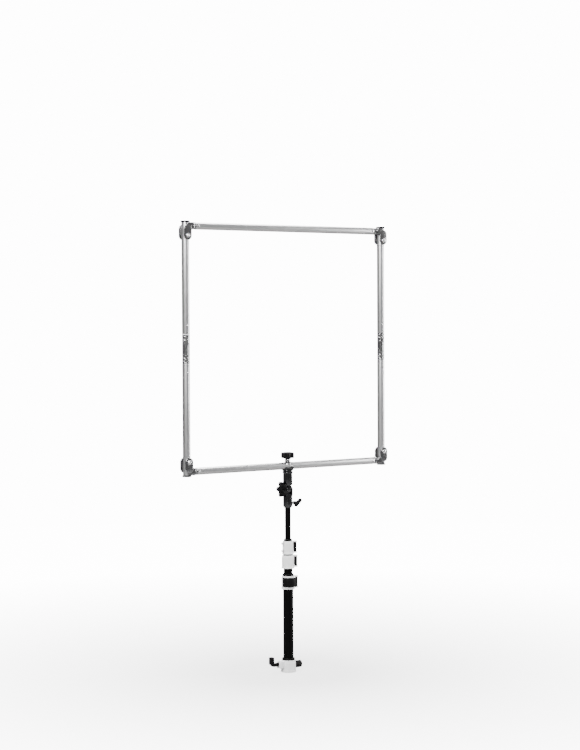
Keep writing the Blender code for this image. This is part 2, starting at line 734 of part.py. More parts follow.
def lock_collar(number, base, outer_tube, wrap, pin_heading):
    """A white collar fixed on a tube's top, with two lugs for its lever and holes for its clamp bolts."""
    inner = TUBE_RADII[outer_tube] + GAP
    outer = collar_radius(number)
    top = base + COLLAR_HEIGHT
    profile = [
        (outer - 0.001, top),
        (outer, top - 0.001),
        (outer, base + 0.012),
        (outer + 0.001, base + 0.002),
        (outer, base),
        (inner, base),
        (inner, top),
    ]
    item = turned(profile, (0, 0, 0))
    pin_place = heading(outer + PIN_OUT, pin_heading)
    middle = base + LEVER_MIDDLE
    for low in (middle + LEVER_HEIGHT / 2 + GAP, middle - LEVER_HEIGHT / 2 - GAP - LUG_HEIGHT):
        half = LUG_RADIUS * 0.8
        outline = [(outer - 0.003, -half), (outer + PIN_OUT, -half), (outer + PIN_OUT, half), (outer - 0.003, half)]
        lug = plate(outline, LUG_HEIGHT, (0, 0, low + LUG_HEIGHT / 2), "Z")
        lug.rotation_euler = (0, 0, math.radians(pin_heading))
        eye = rod(LUG_RADIUS, (pin_place.x, pin_place.y, low + 0.0002), LUG_HEIGHT - 0.0004, "Z", SMALL_ROUND)
        join(item, lug, eye)
    hole = (pin_place.x, pin_place.y, base)
    cut(item, rod(PIN_RADIUS + GAP, hole, COLLAR_HEIGHT, "Z", SMALL_ROUND))
    for turn, height in CLAMP_BOLTS[number]:
        cut(item, radial_hole(outer - BOLT_BITE, turn, base + height))
    return piece(item, "lock_collar_%d" % number, "white_paint")


def radial_hole(radius, turn, height):
    hole = rod(CLAMP_BOLT_RADIUS + GAP, heading(radius, turn, height), 0.02, "X", SMALL_ROUND)
    hole.rotation_euler = (0, math.pi / 2, math.radians(turn))
    return hole


def clamp_bolts(number, base):
    """Hexagon bolts screwed into a collar's side."""
    outer = collar_radius(number)
    for index, (turn, height) in enumerate(CLAMP_BOLTS[number]):
        profile = [
            (0.0, BOLT_BITE + 0.008),
            (0.0042, BOLT_BITE + 0.008),
            (0.0042, BOLT_BITE + 0.0015),
            (CLAMP_BOLT_RADIUS, BOLT_BITE + 0.0015),
            (CLAMP_BOLT_RADIUS, 0.0),
            (0.0, 0.0),
        ]
        item = turned(profile, heading(outer - BOLT_BITE + GAP, turn, base + height), "X", 6)
        item.rotation_euler = (0, math.pi / 2, math.radians(turn))
        piece(item, "clamp_bolt_%d_%d" % (number, index + 1), "bright_steel")


def collar_lever(number, base, wrap, pin_heading, sweep):
    """A flat curved lever that lies round the collar, moulded on the upright pin it turns on."""
    outer = collar_radius(number)
    near = outer + LEVER_OFF
    far = near + LEVER_THICKNESS
    reach = outer + PIN_OUT
    start = LEVER_START
    outer_arc = arc((0, 0), far, start, sweep, 9)
    inner_arc = arc((0, 0), near, sweep, start, 9)
    outline = [(x, wrap * y) for x, y in outer_arc + inner_arc]
    middle = base + LEVER_MIDDLE
    item = plate(outline, LEVER_HEIGHT, (0, 0, middle), "Z")
    item.rotation_euler = (0, 0, math.radians(pin_heading))
    place = heading(reach, pin_heading)
    eye = rod(EYE_RADIUS, (place.x, place.y, middle - LEVER_HEIGHT / 2 + 0.0002), LEVER_HEIGHT - 0.0004, "Z")
    low = middle - LEVER_HEIGHT / 2 - GAP - LUG_HEIGHT - PIN_SHOWN
    length = LEVER_HEIGHT + 2 * (LUG_HEIGHT + GAP + PIN_SHOWN)
    pin = rod(PIN_RADIUS, (place.x, place.y, low), length, "Z", SMALL_ROUND)
    join(item, eye, pin)
    item = set_origin(meshed(item), (place.x, place.y, middle))
    piece(item, "lever_%d" % number, "black_plastic")


def set_origin(item, point):
    """Moves an object's origin without moving its shape."""
    bpy.context.view_layer.update()
    shift = item.matrix_world.inverted() @ Vector(point)
    item.data.transform(Matrix.Translation(-shift))
    item.location = point
    return item


def bush(name, tube_index, inner_index, seat, top_flange):
    """A black bush in a collar's mouth: a ring on the outer tube's end with a flange over the collar."""
    inner = TUBE_RADII[inner_index] + SLIDE_GAP
    outer = TUBE_RADII[tube_index] - 0.0001
    flange = TUBE_RADII[tube_index] + 0.0015
    profile = [
        (flange - 0.001, seat + top_flange),
        (flange, seat + top_flange * 0.35),
        (flange, seat + GAP),
        (outer, seat + GAP),
        (outer, seat - BUSH_DEPTH),
        (inner, seat - BUSH_DEPTH),
        (inner, seat + top_flange),
    ]
    return piece(turned(profile, (0, 0, 0)), name, "black_plastic")


def risers():
    """The column and the three risers, each an open tube inside the one below."""
    tops = (
        COLLAR_3_TOP - BUSH_DEPTH - GAP,
        COLLAR_2_TOP - BUSH_DEPTH - GAP,
        COLLAR_1_TOP - BUSH_DEPTH - GAP,
        SOCKET_END - STUD_SHOULDER,
    )
    ends = (COLUMN_END, RISER_3_END, RISER_2_END, RISER_1_END)
    for name, radius, end, top in zip(("column", "riser_3", "riser_2", "riser_1"), TUBE_RADII, ends, tops):
        piece(tube(radius, radius - TUBE_WALL, (0, 0, end), top - end), name, "black_tube")
    bore = TUBE_RADII[3] - TUBE_WALL - GAP
    seat = tops[3]
    profile = [
        (0.0, SOCKET_END + STUD_LENGTH),
        (STUD_RADIUS - 0.001, SOCKET_END + STUD_LENGTH),
        (STUD_RADIUS, SOCKET_END + STUD_LENGTH - 0.001),
        (STUD_RADIUS, SOCKET_END - GAP),
        (TUBE_RADII[3], SOCKET_END - GAP),
        (TUBE_RADII[3], seat + GAP),
        (bore, seat + GAP),
        (bore, seat - 0.025),
        (0.0, seat - 0.025),
    ]
    piece(turned(profile, (0, 0, 0)), "riser_stud", "black_tube")


def base_parts():
    """The lowest collar with its flat foot, bush, bent lever and knob."""
    inner = TUBE_RADII[0] + GAP
    profile = [
        (BASE_RADIUS - 0.002, BASE_HEIGHT),
        (BASE_RADIUS, BASE_HEIGHT - 0.002),
        (BASE_RADIUS, 0.001),
        (BASE_RADIUS - 0.001, 0.0),
        (0.0, 0.0),
    ]
    body = turned([(0.0, BASE_HEIGHT)] + profile, (0, 0, 0))
    left = block(
        (-BASE_LUG_X, -BASE_LUG_HALF, BASE_LUG_LOW), (-BASE_RADIUS + 0.006, BASE_LUG_HALF, BASE_LUG_TOP)
    )
    right = rod(0.011, (BASE_RADIUS - 0.006, 0, BASE_KNOB_Z), 0.013, "X")
    join(body, bevel(left, 0.002), right)
    slot = block((-2 * BASE_LUG_X, -LEVER_ARM / 2 - GAP, 0.008), (-BASE_LUG_X + 0.012, LEVER_ARM / 2 + GAP, BASE_HEIGHT))
    well = rod(inner, (0, 0, COLUMN_END - GAP), BASE_HEIGHT, "Z")
    mouth = rod(inner + BASE_MOUTH, (0, 0, BASE_HEIGHT - BUSH_DEPTH), BASE_HEIGHT, "Z")
    pin_hole = rod(PIN_RADIUS + GAP, (-BASE_PIN_X, -0.02, BASE_PIN_Z), 0.04, "Y", SMALL_ROUND)
    screw_hole = rod(SCREW_RADIUS + GAP, (TUBE_RADII[0] + GAP, 0, BASE_KNOB_Z), 0.04, "X", SMALL_ROUND)
    cut(body, well, mouth, slot, pin_hole, screw_hole)
    piece(body, "base_collar", "white_paint")
    pin_end = BASE_LUG_HALF + PIN_SHOWN
    pin = rod(PIN_RADIUS, (-BASE_PIN_X, -pin_end, BASE_PIN_Z), 2 * pin_end, "Y", SMALL_ROUND)
    half = LEVER_ARM_HEIGHT / 2
    outline = [
        (0.0, -half),
        (-BASE_LEVER_REACH, -half),
        (-BASE_LEVER_REACH, BASE_LEVER_RISE),
        (-BASE_LEVER_REACH + BASE_GRIP, BASE_LEVER_RISE),
        (-BASE_LEVER_REACH + BASE_GRIP, half),
        (0.0, half),
    ]
    lever = plate(outline, LEVER_ARM, (-BASE_PIN_X, 0, BASE_PIN_Z), "-Y")
    eye = rod(half + 0.0005, (-BASE_PIN_X, LEVER_ARM / 2 - 0.0003, BASE_PIN_Z), LEVER_ARM - 0.0006, "-Y", SMALL_ROUND)
    join(lever, eye, pin)
    piece(lever, "base_lever", "black_plastic")
    tip = TUBE_RADII[0] + 2 * GAP
    head = BASE_RADIUS + 0.010
    profile = [
        (0.0, head + 0.014 - tip),
        (0.009, head + 0.014 - tip),
        (0.0125, head + 0.011 - tip),
        (0.0125, head - tip),
        (SCREW_RADIUS, head - tip),
        (SCREW_RADIUS, 0.0),
        (0.0, 0.0),
    ]
    piece(turned(profile, (tip, 0, BASE_KNOB_Z), "X"), "base_knob", "black_plastic")
    inner = TUBE_RADII[0] + SLIDE_GAP
    flange = TUBE_RADII[0] + BASE_MOUTH
    profile = [
        (flange - 0.0015, BASE_HEIGHT + BUSH_HEIGHT),
        (flange, BASE_HEIGHT + BUSH_HEIGHT * 0.4),
        (flange, BASE_HEIGHT - BUSH_DEPTH + GAP),
        (inner, BASE_HEIGHT - BUSH_DEPTH + GAP),
        (inner, BASE_HEIGHT + BUSH_HEIGHT),
    ]
    piece(turned(profile, (0, 0, 0)), "base_bush", "black_plastic")


def stand_parts():
    risers()
    base_parts()
    for number, base, outer_tube, wrap, pin_heading, sweep in COLLARS:
        lock_collar(number, base, outer_tube, wrap, pin_heading)
        collar_lever(number, base, wrap, pin_heading, sweep)
        flange = COLLAR_SEAM - GAP if number == 2 else BUSH_HEIGHT
        bush("bush_%d" % number, outer_tube, outer_tube + 1, base + COLLAR_HEIGHT, flange)
        clamp_bolts(number, base)


clear_scene()
materials = make_finishes()
parts = new_collection("folding_frame_on_stand_head")
tools = new_collection("cutters")
frame_parts()
head_parts()
stand_parts()
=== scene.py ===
"""Fine surfaces and finishes for a folding frame on a tilting stand head."""

import json
import logging
import math
from dataclasses import dataclass
from enum import Enum

import bpy
import numpy as np
from mathutils import Euler, Matrix, Vector

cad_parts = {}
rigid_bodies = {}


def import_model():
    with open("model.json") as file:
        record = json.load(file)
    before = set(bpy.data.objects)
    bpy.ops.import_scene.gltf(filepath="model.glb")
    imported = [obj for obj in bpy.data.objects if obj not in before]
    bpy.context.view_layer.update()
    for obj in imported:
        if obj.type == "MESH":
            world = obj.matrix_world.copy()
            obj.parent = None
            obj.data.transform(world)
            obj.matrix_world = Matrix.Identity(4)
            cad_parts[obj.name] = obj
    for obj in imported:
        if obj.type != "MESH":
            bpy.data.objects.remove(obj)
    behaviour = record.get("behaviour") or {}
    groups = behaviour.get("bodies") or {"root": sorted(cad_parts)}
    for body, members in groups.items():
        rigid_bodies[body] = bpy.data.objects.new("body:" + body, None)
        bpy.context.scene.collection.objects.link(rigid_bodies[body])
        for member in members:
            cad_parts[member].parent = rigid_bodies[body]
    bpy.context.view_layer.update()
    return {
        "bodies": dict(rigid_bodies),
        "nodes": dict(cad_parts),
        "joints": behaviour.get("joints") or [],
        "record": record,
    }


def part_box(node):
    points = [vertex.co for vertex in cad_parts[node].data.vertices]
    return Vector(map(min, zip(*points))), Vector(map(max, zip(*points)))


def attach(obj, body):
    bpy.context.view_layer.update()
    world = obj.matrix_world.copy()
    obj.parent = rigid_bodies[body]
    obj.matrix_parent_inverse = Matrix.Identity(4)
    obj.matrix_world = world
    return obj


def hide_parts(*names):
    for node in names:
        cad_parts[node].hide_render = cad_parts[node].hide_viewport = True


logging.basicConfig(level=logging.INFO, format="%(message)s")
LOG = logging.getLogger("scene")

AROUND = 72  # points round a turned piece
FINE_EDGE = 0.0006  # usual rounding of a machined edge
CLEARANCE = 0.0003  # between pieces that fit into each other
BACKDROP = 14.0  # strength at which the backdrop looks pure white
CREASE = 38.0  # degrees between faces from which an edge stays sharp


class Axis(Enum):
    """The direction that a turned or extruded piece is built along."""

    X = (1.0, 0.0, 0.0)
    BACK_X = (-1.0, 0.0, 0.0)
    Y = (0.0, 1.0, 0.0)
    FRONT = (0.0, -1.0, 0.0)
    Z = (0.0, 0.0, 1.0)
    DOWN = (0.0, 0.0, -1.0)


def basis(axis: Axis) -> np.ndarray:
    """Gives three unit rows: across, up and along, with along on the axis.

    Args:
        axis: The direction of the local height.

    Returns:
        A 3 by 3 array that takes local points to the frame when they are multiplied by it.
    """
    along = np.array(axis.value)
    if abs(along[2]) > 0.5:
        across = np.array((1.0, 0.0, 0.0))
    elif abs(along[1]) > 0.5:
        across = np.array((1.0, 0.0, 0.0))
    else:
        across = np.array((0.0, 1.0, 0.0))
    return np.stack((across, np.cross(along, across), along))


def placed(points: np.ndarray, origin: Vector | tuple, axis: Axis) -> np.ndarray:
    """Takes local points (height last) to their place: origin plus points times the basis.

    Args:
        points: Any array whose last size is 3.
        origin: Where the local zero goes.
        axis: The direction of the local height.

    Returns:
        The same array of points in the frame.
    """
    return points @ basis(axis) + np.array(origin, float)


def filleted(
    points: list[tuple[float, float]], size: float, closed: bool = False, steps: int = 4
) -> np.ndarray:
    """Rounds the corners of a line: each corner becomes a quadratic curve between points on its two sides.

    Args:
        points: The corners in order.
        size: How far from a corner its rounding begins, at most 45% of a side.
        closed: Whether the last corner joins the first.
        steps: Pieces of each rounding.

    Returns:
        The rounded line, one row a point.
    """
    corner = np.array(points, float)
    before, after = np.roll(corner, 1, 0), np.roll(corner, -1, 0)
    to_before, to_after = before - corner, after - corner
    length_before = np.linalg.norm(to_before, axis=1, keepdims=True)
    length_after = np.linalg.norm(to_after, axis=1, keepdims=True)
    start = corner + to_before * np.minimum(size / np.maximum(length_before, 1e-9), 0.45)
    stop = corner + to_after * np.minimum(size / np.maximum(length_after, 1e-9), 0.45)
    t = np.linspace(0.0, 1.0, steps + 1)[None, :, None]
    curve = (1 - t) ** 2 * start[:, None] + 2 * t * (1 - t) * corner[:, None] + t**2 * stop[:, None]
    if closed:
        return curve.reshape(-1, 2)
    return np.concatenate((corner[:1], curve[1:-1].reshape(-1, 2), corner[-1:]))


def turned(profile: np.ndarray, steps: int = AROUND) -> np.ndarray:
    """Turns a profile of (radius, height) about the local height axis.

    Args:
        profile: One row a point.
        steps: Points round the axis.

    Returns:
        Rings of points, (profile points, steps, 3).
    """
    angle = np.linspace(0.0, 2 * np.pi, steps, endpoint=False)
    radius, height = profile[:, 0:1], profile[:, 1:2]
    return np.stack(
        (
            radius * np.cos(angle), radius * np.sin(angle), np.broadcast_to(height, (len(profile), steps))
        ), axis=-1
    )


def pillow(outline: np.ndarray, low: float, high: float, edge: float, steps: int = 4) -> np.ndarray:
    """A plate with rounded rims: the outline is drawn in by edge * (1 - sin a) where the height nears a face.

    Args:
        outline: The rim, one row a point, anticlockwise.
        low: Height of one face.
        high: Height of the other face.
        edge: Size of the rounding.
        steps: Rings in each rounding.

    Returns:
        Rings of points from the low face to the high one.
    """
    tangent = np.roll(outline, -1, 0) - np.roll(outline, 1, 0)
    normal = np.stack((tangent[:, 1], -tangent[:, 0]), axis=1)
    normal /= np.maximum(np.linalg.norm(normal, axis=1, keepdims=True), 1e-12)
    angle = np.linspace(0.0, np.pi / 2, steps + 1)
    inset = edge * (1 - np.sin(angle))
    rise = edge * (1 - np.cos(angle))
    insets = np.concatenate((inset, inset[::-1]))
    heights = np.concatenate((low + rise, (high - rise)[::-1]))
    flat = outline[None] - normal[None] * insets[:, None, None]
    level = np.broadcast_to(heights[:, None, None], (*flat.shape[:2], 1))
    return np.concatenate((flat, level), axis=-1)


def arc(centre: tuple[float, float], radius: float, start: float, end: float, steps: int = 16) -> list:
    """Points on a circle, from one angle to another in degrees.

    Args:
        centre: The circle's centre.
        radius: Its radius.
        start: First angle.
        end: Last angle.
        steps: Pieces of the arc.

    Returns:
        A list of points.
    """
    angle = np.radians(np.linspace(start, end, steps + 1))
    return list(np.stack((centre[0] + radius * np.cos(angle), centre[1] + radius * np.sin(angle)), axis=1))


def lobes(radius: float, depth: float, count: int, sharpness: float = 0.7, steps: int = 20) -> np.ndarray:
    """A knob's rim: the radius less depth times one minus a raised cosine to a power.

    Args:
        radius: Radius at the tip of a lobe.
        depth: How far the rim falls between lobes.
        count: Number of lobes.
        sharpness: Power of the cosine; below one makes wide lobes.
        steps: Points for each lobe.

    Returns:
        The closed rim, one row a point.
    """
    angle = np.linspace(0.0, 2 * np.pi, count * steps, endpoint=False)
    reach = radius - depth * (1 - (0.5 + 0.5 * np.cos(count * angle)) ** sharpness)
    return np.stack((reach * np.cos(angle), reach * np.sin(angle)), axis=1)


class Shell:
    """Closed surfaces that make one piece, gathered as vertices and faces."""

    def __init__(self) -> None:
        """Starts with nothing in it."""
        self.points: list[np.ndarray] = []
        self.faces: list[list[int]] = []
        self.count = 0

    def rings(self, rings: np.ndarray, loop: bool = False) -> "Shell":
        """Adds rings of points joined by quads.

        A loop joins the last ring to the first; otherwise both ends are capped.

        Args:
            rings: (rings, points round, 3) in the frame.
            loop: Whether it is a ring such as a tube with a bore.

        Returns:
            This shell.
        """
        count, around = rings.shape[:2]
        points = rings.reshape(-1, 3)
        row = np.arange(count if loop else count - 1)[:, None]
        column = np.arange(around)[None, :]
        here, there = row * around, ((row + 1) % count) * around
        right = (column + 1) % around
        quads = np.stack((here + column, here + right, there + right, there + column), axis=-1).reshape(-1, 4)
        faces = quads.tolist()
        if not loop:
            centres = np.stack((rings[0].mean(0), rings[-1].mean(0)))
            points = np.concatenate((points, centres))
            first, last, top = count * around, count * around + 1, (count - 1) * around
            turn = np.arange(around)
            follow = (turn + 1) % around
            faces += np.stack((np.full(around, first), follow, turn), axis=1).tolist()
            faces += np.stack((np.full(around, last), top + turn, top + follow), axis=1).tolist()
        if self.volume(points, quads) < 0:
            faces = [face[::-1] for face in faces]
        self.faces += [[index + self.count for index in face] for face in faces]
        self.points.append(points)
        self.count += len(points)
        return self

    @staticmethod
    def volume(points: np.ndarray, quads: np.ndarray) -> float:
        """Six times the volume that the side faces close about their own middle, with its sign.

        Args:
            points: The vertices.
            quads: The side faces.

        Returns:
            A number above zero where the faces point out.
        """
        corner = points[quads] - points.mean(0)
        first = np.einsum("ij,ij->i", corner[:, 0], np.cross(corner[:, 1], corner[:, 2]))
        second = np.einsum("ij,ij->i", corner[:, 0], np.cross(corner[:, 2], corner[:, 3]))
        return float(first.sum() + second.sum())

    def turn(self, profile: list | np.ndarray, origin: tuple, axis: Axis, edge: float = FINE_EDGE) -> "Shell":
        """Adds a turned solid from a profile that begins and ends near the axis, with rounded corners.

        Args:
            profile: (radius, height) from one end to the other.
            origin: Where the height is zero.
            axis: The axis of turning.
            edge: Size of the rounding.

        Returns:
            This shell.
        """
        return self.rings(placed(turned(filleted(profile, edge)), origin, axis))

    def ring(self, profile: list, origin: tuple, axis: Axis, edge: float = FINE_EDGE) -> "Shell":
        """Adds a turned ring from a closed profile.

        Args:
            profile: Corners of (radius, height) in order.
            origin: Where the height is zero.
            axis: The axis of turning.
            edge: Size of the rounding.

        Returns:
            This shell.
        """
        return self.rings(placed(turned(filleted(profile, edge, closed=True)), origin, axis), loop=True)

    def plate(
        self, outline: np.ndarray, low: float, high: float, origin: tuple, axis: Axis, edge: float
    ) -> "Shell":
        """Adds a plate with rounded rims.

        Args:
            outline: The rim in the plane across the axis.
            low: Height of one face.
            high: Height of the other.
            origin: Where the local zero goes.
            axis: The direction of the thickness.
            edge: Size of the rounding.

        Returns:
            This shell.
        """
        return self.rings(placed(pillow(outline, low, high, edge), origin, axis))

    def made(self, name: str) -> bpy.types.Object:
        """Makes the mesh object, smooth with sharp creases.

        Args:
            name: The piece's name.

        Returns:
            The new object.
        """
        mesh = bpy.data.meshes.new(name)
        mesh.from_pydata(np.concatenate(self.points), [], self.faces)
        mesh.validate()
        mesh.shade_smooth()
        mesh.set_sharp_from_angle(angle=math.radians(CREASE))
        item = bpy.data.objects.new(name, mesh)
        bpy.context.scene.collection.objects.link(item)
        return item


# ---------------------------------------------------------------- finishes
def wear_group() -> bpy.types.ShaderNodeTree:
    """Builds the shared effect: fine drawn grain, slow tone drift and small rubbed spots.

    Grain is noise stretched by the caller's mapping. Drift is slow noise. Rub is noise cut at a level.

    Returns:
        The node group, with inputs Vector, Grain Vector and Rub Level, and outputs Grain, Drift and Rub.
    """
    tree = bpy.data.node_groups.new("surface_wear", "ShaderNodeTree")
    for name, kind in (
        ("Vector", "NodeSocketVector"), ("Grain Vector", "NodeSocketVector"), ("Rub Level", "NodeSocketFloat")
    ):
        tree.interface.new_socket(name=name, in_out="INPUT", socket_type=kind)
    for name in ("Grain", "Drift", "Rub"):
        tree.interface.new_socket(name=name, in_out="OUTPUT", socket_type="NodeSocketFloat")
    source, target = tree.nodes.new("NodeGroupInput"), tree.nodes.new("NodeGroupOutput")
    link = tree.links.new
    for name, vector, scale, detail in (("Grain", "Grain Vector", 1.0, 3.0), ("Drift", "Vector", 9.0, 2.0)):
        noise = tree.nodes.new("ShaderNodeTexNoise")
        noise.inputs["Scale"].default_value = scale
        noise.inputs["Detail"].default_value = detail
        link(source.outputs[vector], noise.inputs["Vector"])
        link(noise.outputs["Fac"], target.inputs[name])
    spots = tree.nodes.new("ShaderNodeTexNoise")
    spots.inputs["Scale"].default_value = 130.0
    spots.inputs["Detail"].default_value = 5.0
    level = tree.nodes.new("ShaderNodeMapRange")
    level.inputs["From Max"].default_value = 0.82
    link(source.outputs["Vector"], spots.inputs["Vector"])
    link(spots.outputs["Fac"], level.inputs["Value"])
    link(source.outputs["Rub Level"], level.inputs["From Min"])
    link(level.outputs["Result"], target.inputs["Rub"])
    return tree


@dataclass(frozen=True)
class Finish:
    """A surface finish: two close tones, a rubbed tone, gloss range, grain and relief."""

    name: str
    slot: str
    dark: tuple[float, float, float]
    light: tuple[float, float, float]
    rubbed: tuple[float, float, float]
    metallic: float
    smooth: float
    rough: float
    grain: tuple[float, float, float]
    relief: float
    rub_level: float = 0.62
    coat: float = 0.0
    sheen: float = 0.5  # strength of the plain reflection

    def material(self, group: bpy.types.ShaderNodeTree) -> bpy.types.Material:
        """Builds the procedural material on object coordinates.

        Args:
            group: The shared wear group.

        Returns:
            The new material.
        """
        material = bpy.data.materials.new(self.name)
        material.use_nodes = True
        tree = material.node_tree
        link = tree.links.new
        shader = tree.nodes["Principled BSDF"]
        shader.inputs["Metallic"].default_value = self.metallic
        shader.inputs["Coat Weight"].default_value = self.coat
        shader.inputs["Specular IOR Level"].default_value = self.sheen
        place = tree.nodes.new("ShaderNodeTexCoord")
        stretch = tree.nodes.new("ShaderNodeMapping")
        stretch.inputs["Scale"].default_value = self.grain
        wear = tree.nodes.new("ShaderNodeGroup")
        wear.node_tree = group
        wear.inputs["Rub Level"].default_value = self.rub_level
        link(place.outputs["Object"], stretch.inputs["Vector"])
        link(place.outputs["Object"], wear.inputs["Vector"])
        link(stretch.outputs["Vector"], wear.inputs["Grain Vector"])
        tone = self.mix(tree, wear.outputs["Drift"], self.dark, self.light)
        worn = tree.nodes.new("ShaderNodeMix")
        worn.data_type = "RGBA"
        worn.inputs["B"].default_value = (*self.rubbed, 1.0)
        link(wear.outputs["Rub"], worn.inputs["Factor"])
        link(tone.outputs["Result"], worn.inputs["A"])
        link(worn.outputs["Result"], shader.inputs["Base Color"])
        gloss = tree.nodes.new("ShaderNodeMapRange")
        gloss.inputs["From Min"].default_value = 0.3
        gloss.inputs["From Max"].default_value = 0.7
        gloss.inputs["To Min"].default_value = self.smooth
        gloss.inputs["To Max"].default_value = self.rough
        link(wear.outputs["Grain"], gloss.inputs["Value"])
        link(gloss.outputs["Result"], shader.inputs["Roughness"])
        bump = tree.nodes.new("ShaderNodeBump")
        bump.inputs["Strength"].default_value = self.relief
        bump.inputs["Distance"].default_value = 0.0002
        link(wear.outputs["Grain"], bump.inputs["Height"])
        link(bump.outputs["Normal"], shader.inputs["Normal"])
        return material

    @staticmethod
    def mix(tree: bpy.types.NodeTree, fac: bpy.types.NodeSocket, low: tuple, high: tuple) -> bpy.types.Node:
        """Mixes two tones by a mask.

        Args:
            tree: The material's tree.
            fac: The mask.
            low: Colour where the mask is zero.
            high: Colour where it is one.

        Returns:
            The mix node.
        """
        node = tree.nodes.new("ShaderNodeMix")
        node.data_type = "RGBA"
        node.inputs["A"].default_value = (*low, 1.0)
        node.inputs["B"].default_value = (*high, 1.0)
        tree.links.new(fac, node.inputs["Factor"])
        return node


ALONG_X = (18.0, 2600.0, 2600.0)
ALONG_Z = (2600.0, 2600.0, 18.0)
EVEN = (900.0, 900.0, 900.0)
SILVER = ((0.48, 0.48, 0.485), (0.60, 0.60, 0.605), (0.34, 0.34, 0.34), 1.0)
CASTING = ((0.24, 0.24, 0.245), (0.36, 0.36, 0.365), (0.14, 0.14, 0.14), 1.0)
PLATING = ((0.055, 0.055, 0.058), (0.12, 0.12, 0.123), (0.34, 0.34, 0.34), 1.0)
BANDING = ((0.26, 0.26, 0.265), (0.42, 0.42, 0.425), (0.12, 0.12, 0.12), 1.0)
STEEL = ((0.72, 0.72, 0.73), (0.86, 0.86, 0.86), (0.56, 0.55, 0.53), 1.0)
MOULDED = ((0.0015, 0.0015, 0.0016), (0.0035, 0.0035, 0.0037), (0.009, 0.009, 0.009), 0.0)
BLACKED = ((0.0006, 0.0006, 0.0007), (0.0014, 0.0014, 0.0015), (0.004, 0.004, 0.004), 0.0)
PAINT = ((0.90, 0.90, 0.895), (0.96, 0.96, 0.955), (0.72, 0.72, 0.71), 0.0)
FINISHES = {
    "bar": Finish("satin_silver_bar", "silver_tube", *SILVER, 0.30, 0.42, ALONG_X, 0.10, 0.74),
    "side": Finish("satin_silver_side", "silver_tube", *SILVER, 0.30, 0.42, ALONG_Z, 0.10, 0.74),
    "cast": Finish("polished_casting", "cast_metal", *CASTING, 0.14, 0.24, EVEN, 0.06, 0.66),
    "plated": Finish("dark_plating", "dark_metal", *PLATING, 0.10, 0.20, EVEN, 0.04, 0.66),
    "band": Finish("grey_plating", "dark_metal", *BANDING, 0.16, 0.28, EVEN, 0.05, 0.62),
    "steel": Finish("bright_steel", "bright_steel", *STEEL, 0.08, 0.18, EVEN, 0.04, 0.74),
    "plastic": Finish("moulded_black", "black_plastic", *MOULDED, 0.40, 0.55, EVEN, 0.25, 0.68, 0.0, 0.12),
    "tube": Finish("satin_black_tube", "black_tube", *BLACKED, 0.34, 0.46, ALONG_Z, 0.08, 0.76, 0.0, 0.06),
    "paint": Finish("white_powder_paint", "white_paint", *PAINT, 0.36, 0.48, EVEN, 0.15, 0.78, 0.05),
}


class Bench:
    """Where pieces are finished: it knows the frame, the bodies and the materials."""

    def __init__(self, frame: dict) -> None:
        """Reads the bodies and makes the materials.
        """
        groups = frame["record"]["behaviour"]["bodies"]
        self.body = {node: body for body, nodes in groups.items() for node in nodes}
        self.nodes = frame["nodes"]
        group = wear_group()
        self.materials = {key: finish.material(group) for key, finish in FINISHES.items()}

    def centre(self, node: str) -> Vector:
        """The middle of a node's box."""
        low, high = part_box(node)
        return (low + high) / 2

    def fit(self, shell: Shell, node: str, key: str, suffix: str = "fine") -> bpy.types.Object:
        """Makes the piece, dresses it, and puts it in its node's place.

        Args:
            shell: The piece's surfaces.
            node: The CAD node that it stands for.
            key: Its finish.
            suffix: Last word of its name.

        Returns:
            The finished piece.
        """
        item = self.add(shell, f"{node}_{suffix}", self.body[node], key)
        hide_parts(node)
        return item

    def add(self, shell: Shell, name: str, body: str, key: str) -> bpy.types.Object:
        """Makes a piece of detail that rides on a body.

        Args:
            shell: The piece's surfaces.
            name: Its name.
            body: The body that carries it.
            key: Its finish.

        Returns:
            The finished piece.
        """
        item = shell.made(name)
        item.data.materials.append(self.materials[key])
        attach(item, body)
        LOG.info("made %s, %d faces", name, len(item.data.polygons))
        return item


def sweep(inner: np.ndarray, outer: np.ndarray, low: float, high: float, edge: float) -> np.ndarray:
    """Carries a rounded rectangle along a band: its width runs from the inner line to the outer one.

    Args:
        inner: One side of the band in the plane, one row a station.
        outer: The other side, row for row.
        low: Height of one face.
        high: Height of the other face.
        edge: Size of the rounding.

    Returns:
        Rings of points, one for each station.
    """
    turn = np.linspace(0.0, np.pi / 2, 5)
    bend_s, bend_t = edge * (1 - np.cos(turn)), edge * (1 - np.sin(turn))
    corner_s = np.repeat([0.0, 1.0, 1.0, 0.0], 5)
    corner_t = np.repeat([0.0, 0.0, 1.0, 1.0], 5)
    step_s = np.concatenate((bend_s, -bend_s[::-1], -bend_s, bend_s[::-1]))
    step_t = np.concatenate((bend_t, bend_t[::-1], -bend_t, -bend_t[::-1]))
    across = outer - inner
    width = np.linalg.norm(across, axis=1)[:, None]
    share = corner_s[None] + step_s[None] / width
    flat = inner[:, None] + across[:, None] * share[..., None]
    height = low + corner_t * (high - low) + step_t
    level = np.broadcast_to(height[None, :, None], (*flat.shape[:2], 1))
    return np.concatenate((flat, level), axis=-1)


def step(value: np.ndarray, start: float, stop: float) -> np.ndarray:
    """Rises evenly from 0 to 1 while the value goes from start to stop."""
    return np.clip((value - start) / (stop - start), 0.0, 1.0)


def slab(width: float, depth: float, corner: float) -> np.ndarray:
    """A rectangle with round corners about zero, one row a point."""
    x, y = width / 2, depth / 2
    return filleted([(-x, -y), (x, -y), (x, y), (-x, y)], corner, closed=True, steps=8)


def hexagon(radius: float) -> np.ndarray:
    """The rim of a hexagon with slightly eased corners.

    Args:
        radius: From the middle to a corner.

    Returns:
        The rim, one row a point.
    """
    angle = np.radians(np.arange(0, 360, 60))
    return filleted(
        list(np.stack((radius * np.cos(angle), radius * np.sin(angle)), axis=1)), 0.0005, closed=True
    )


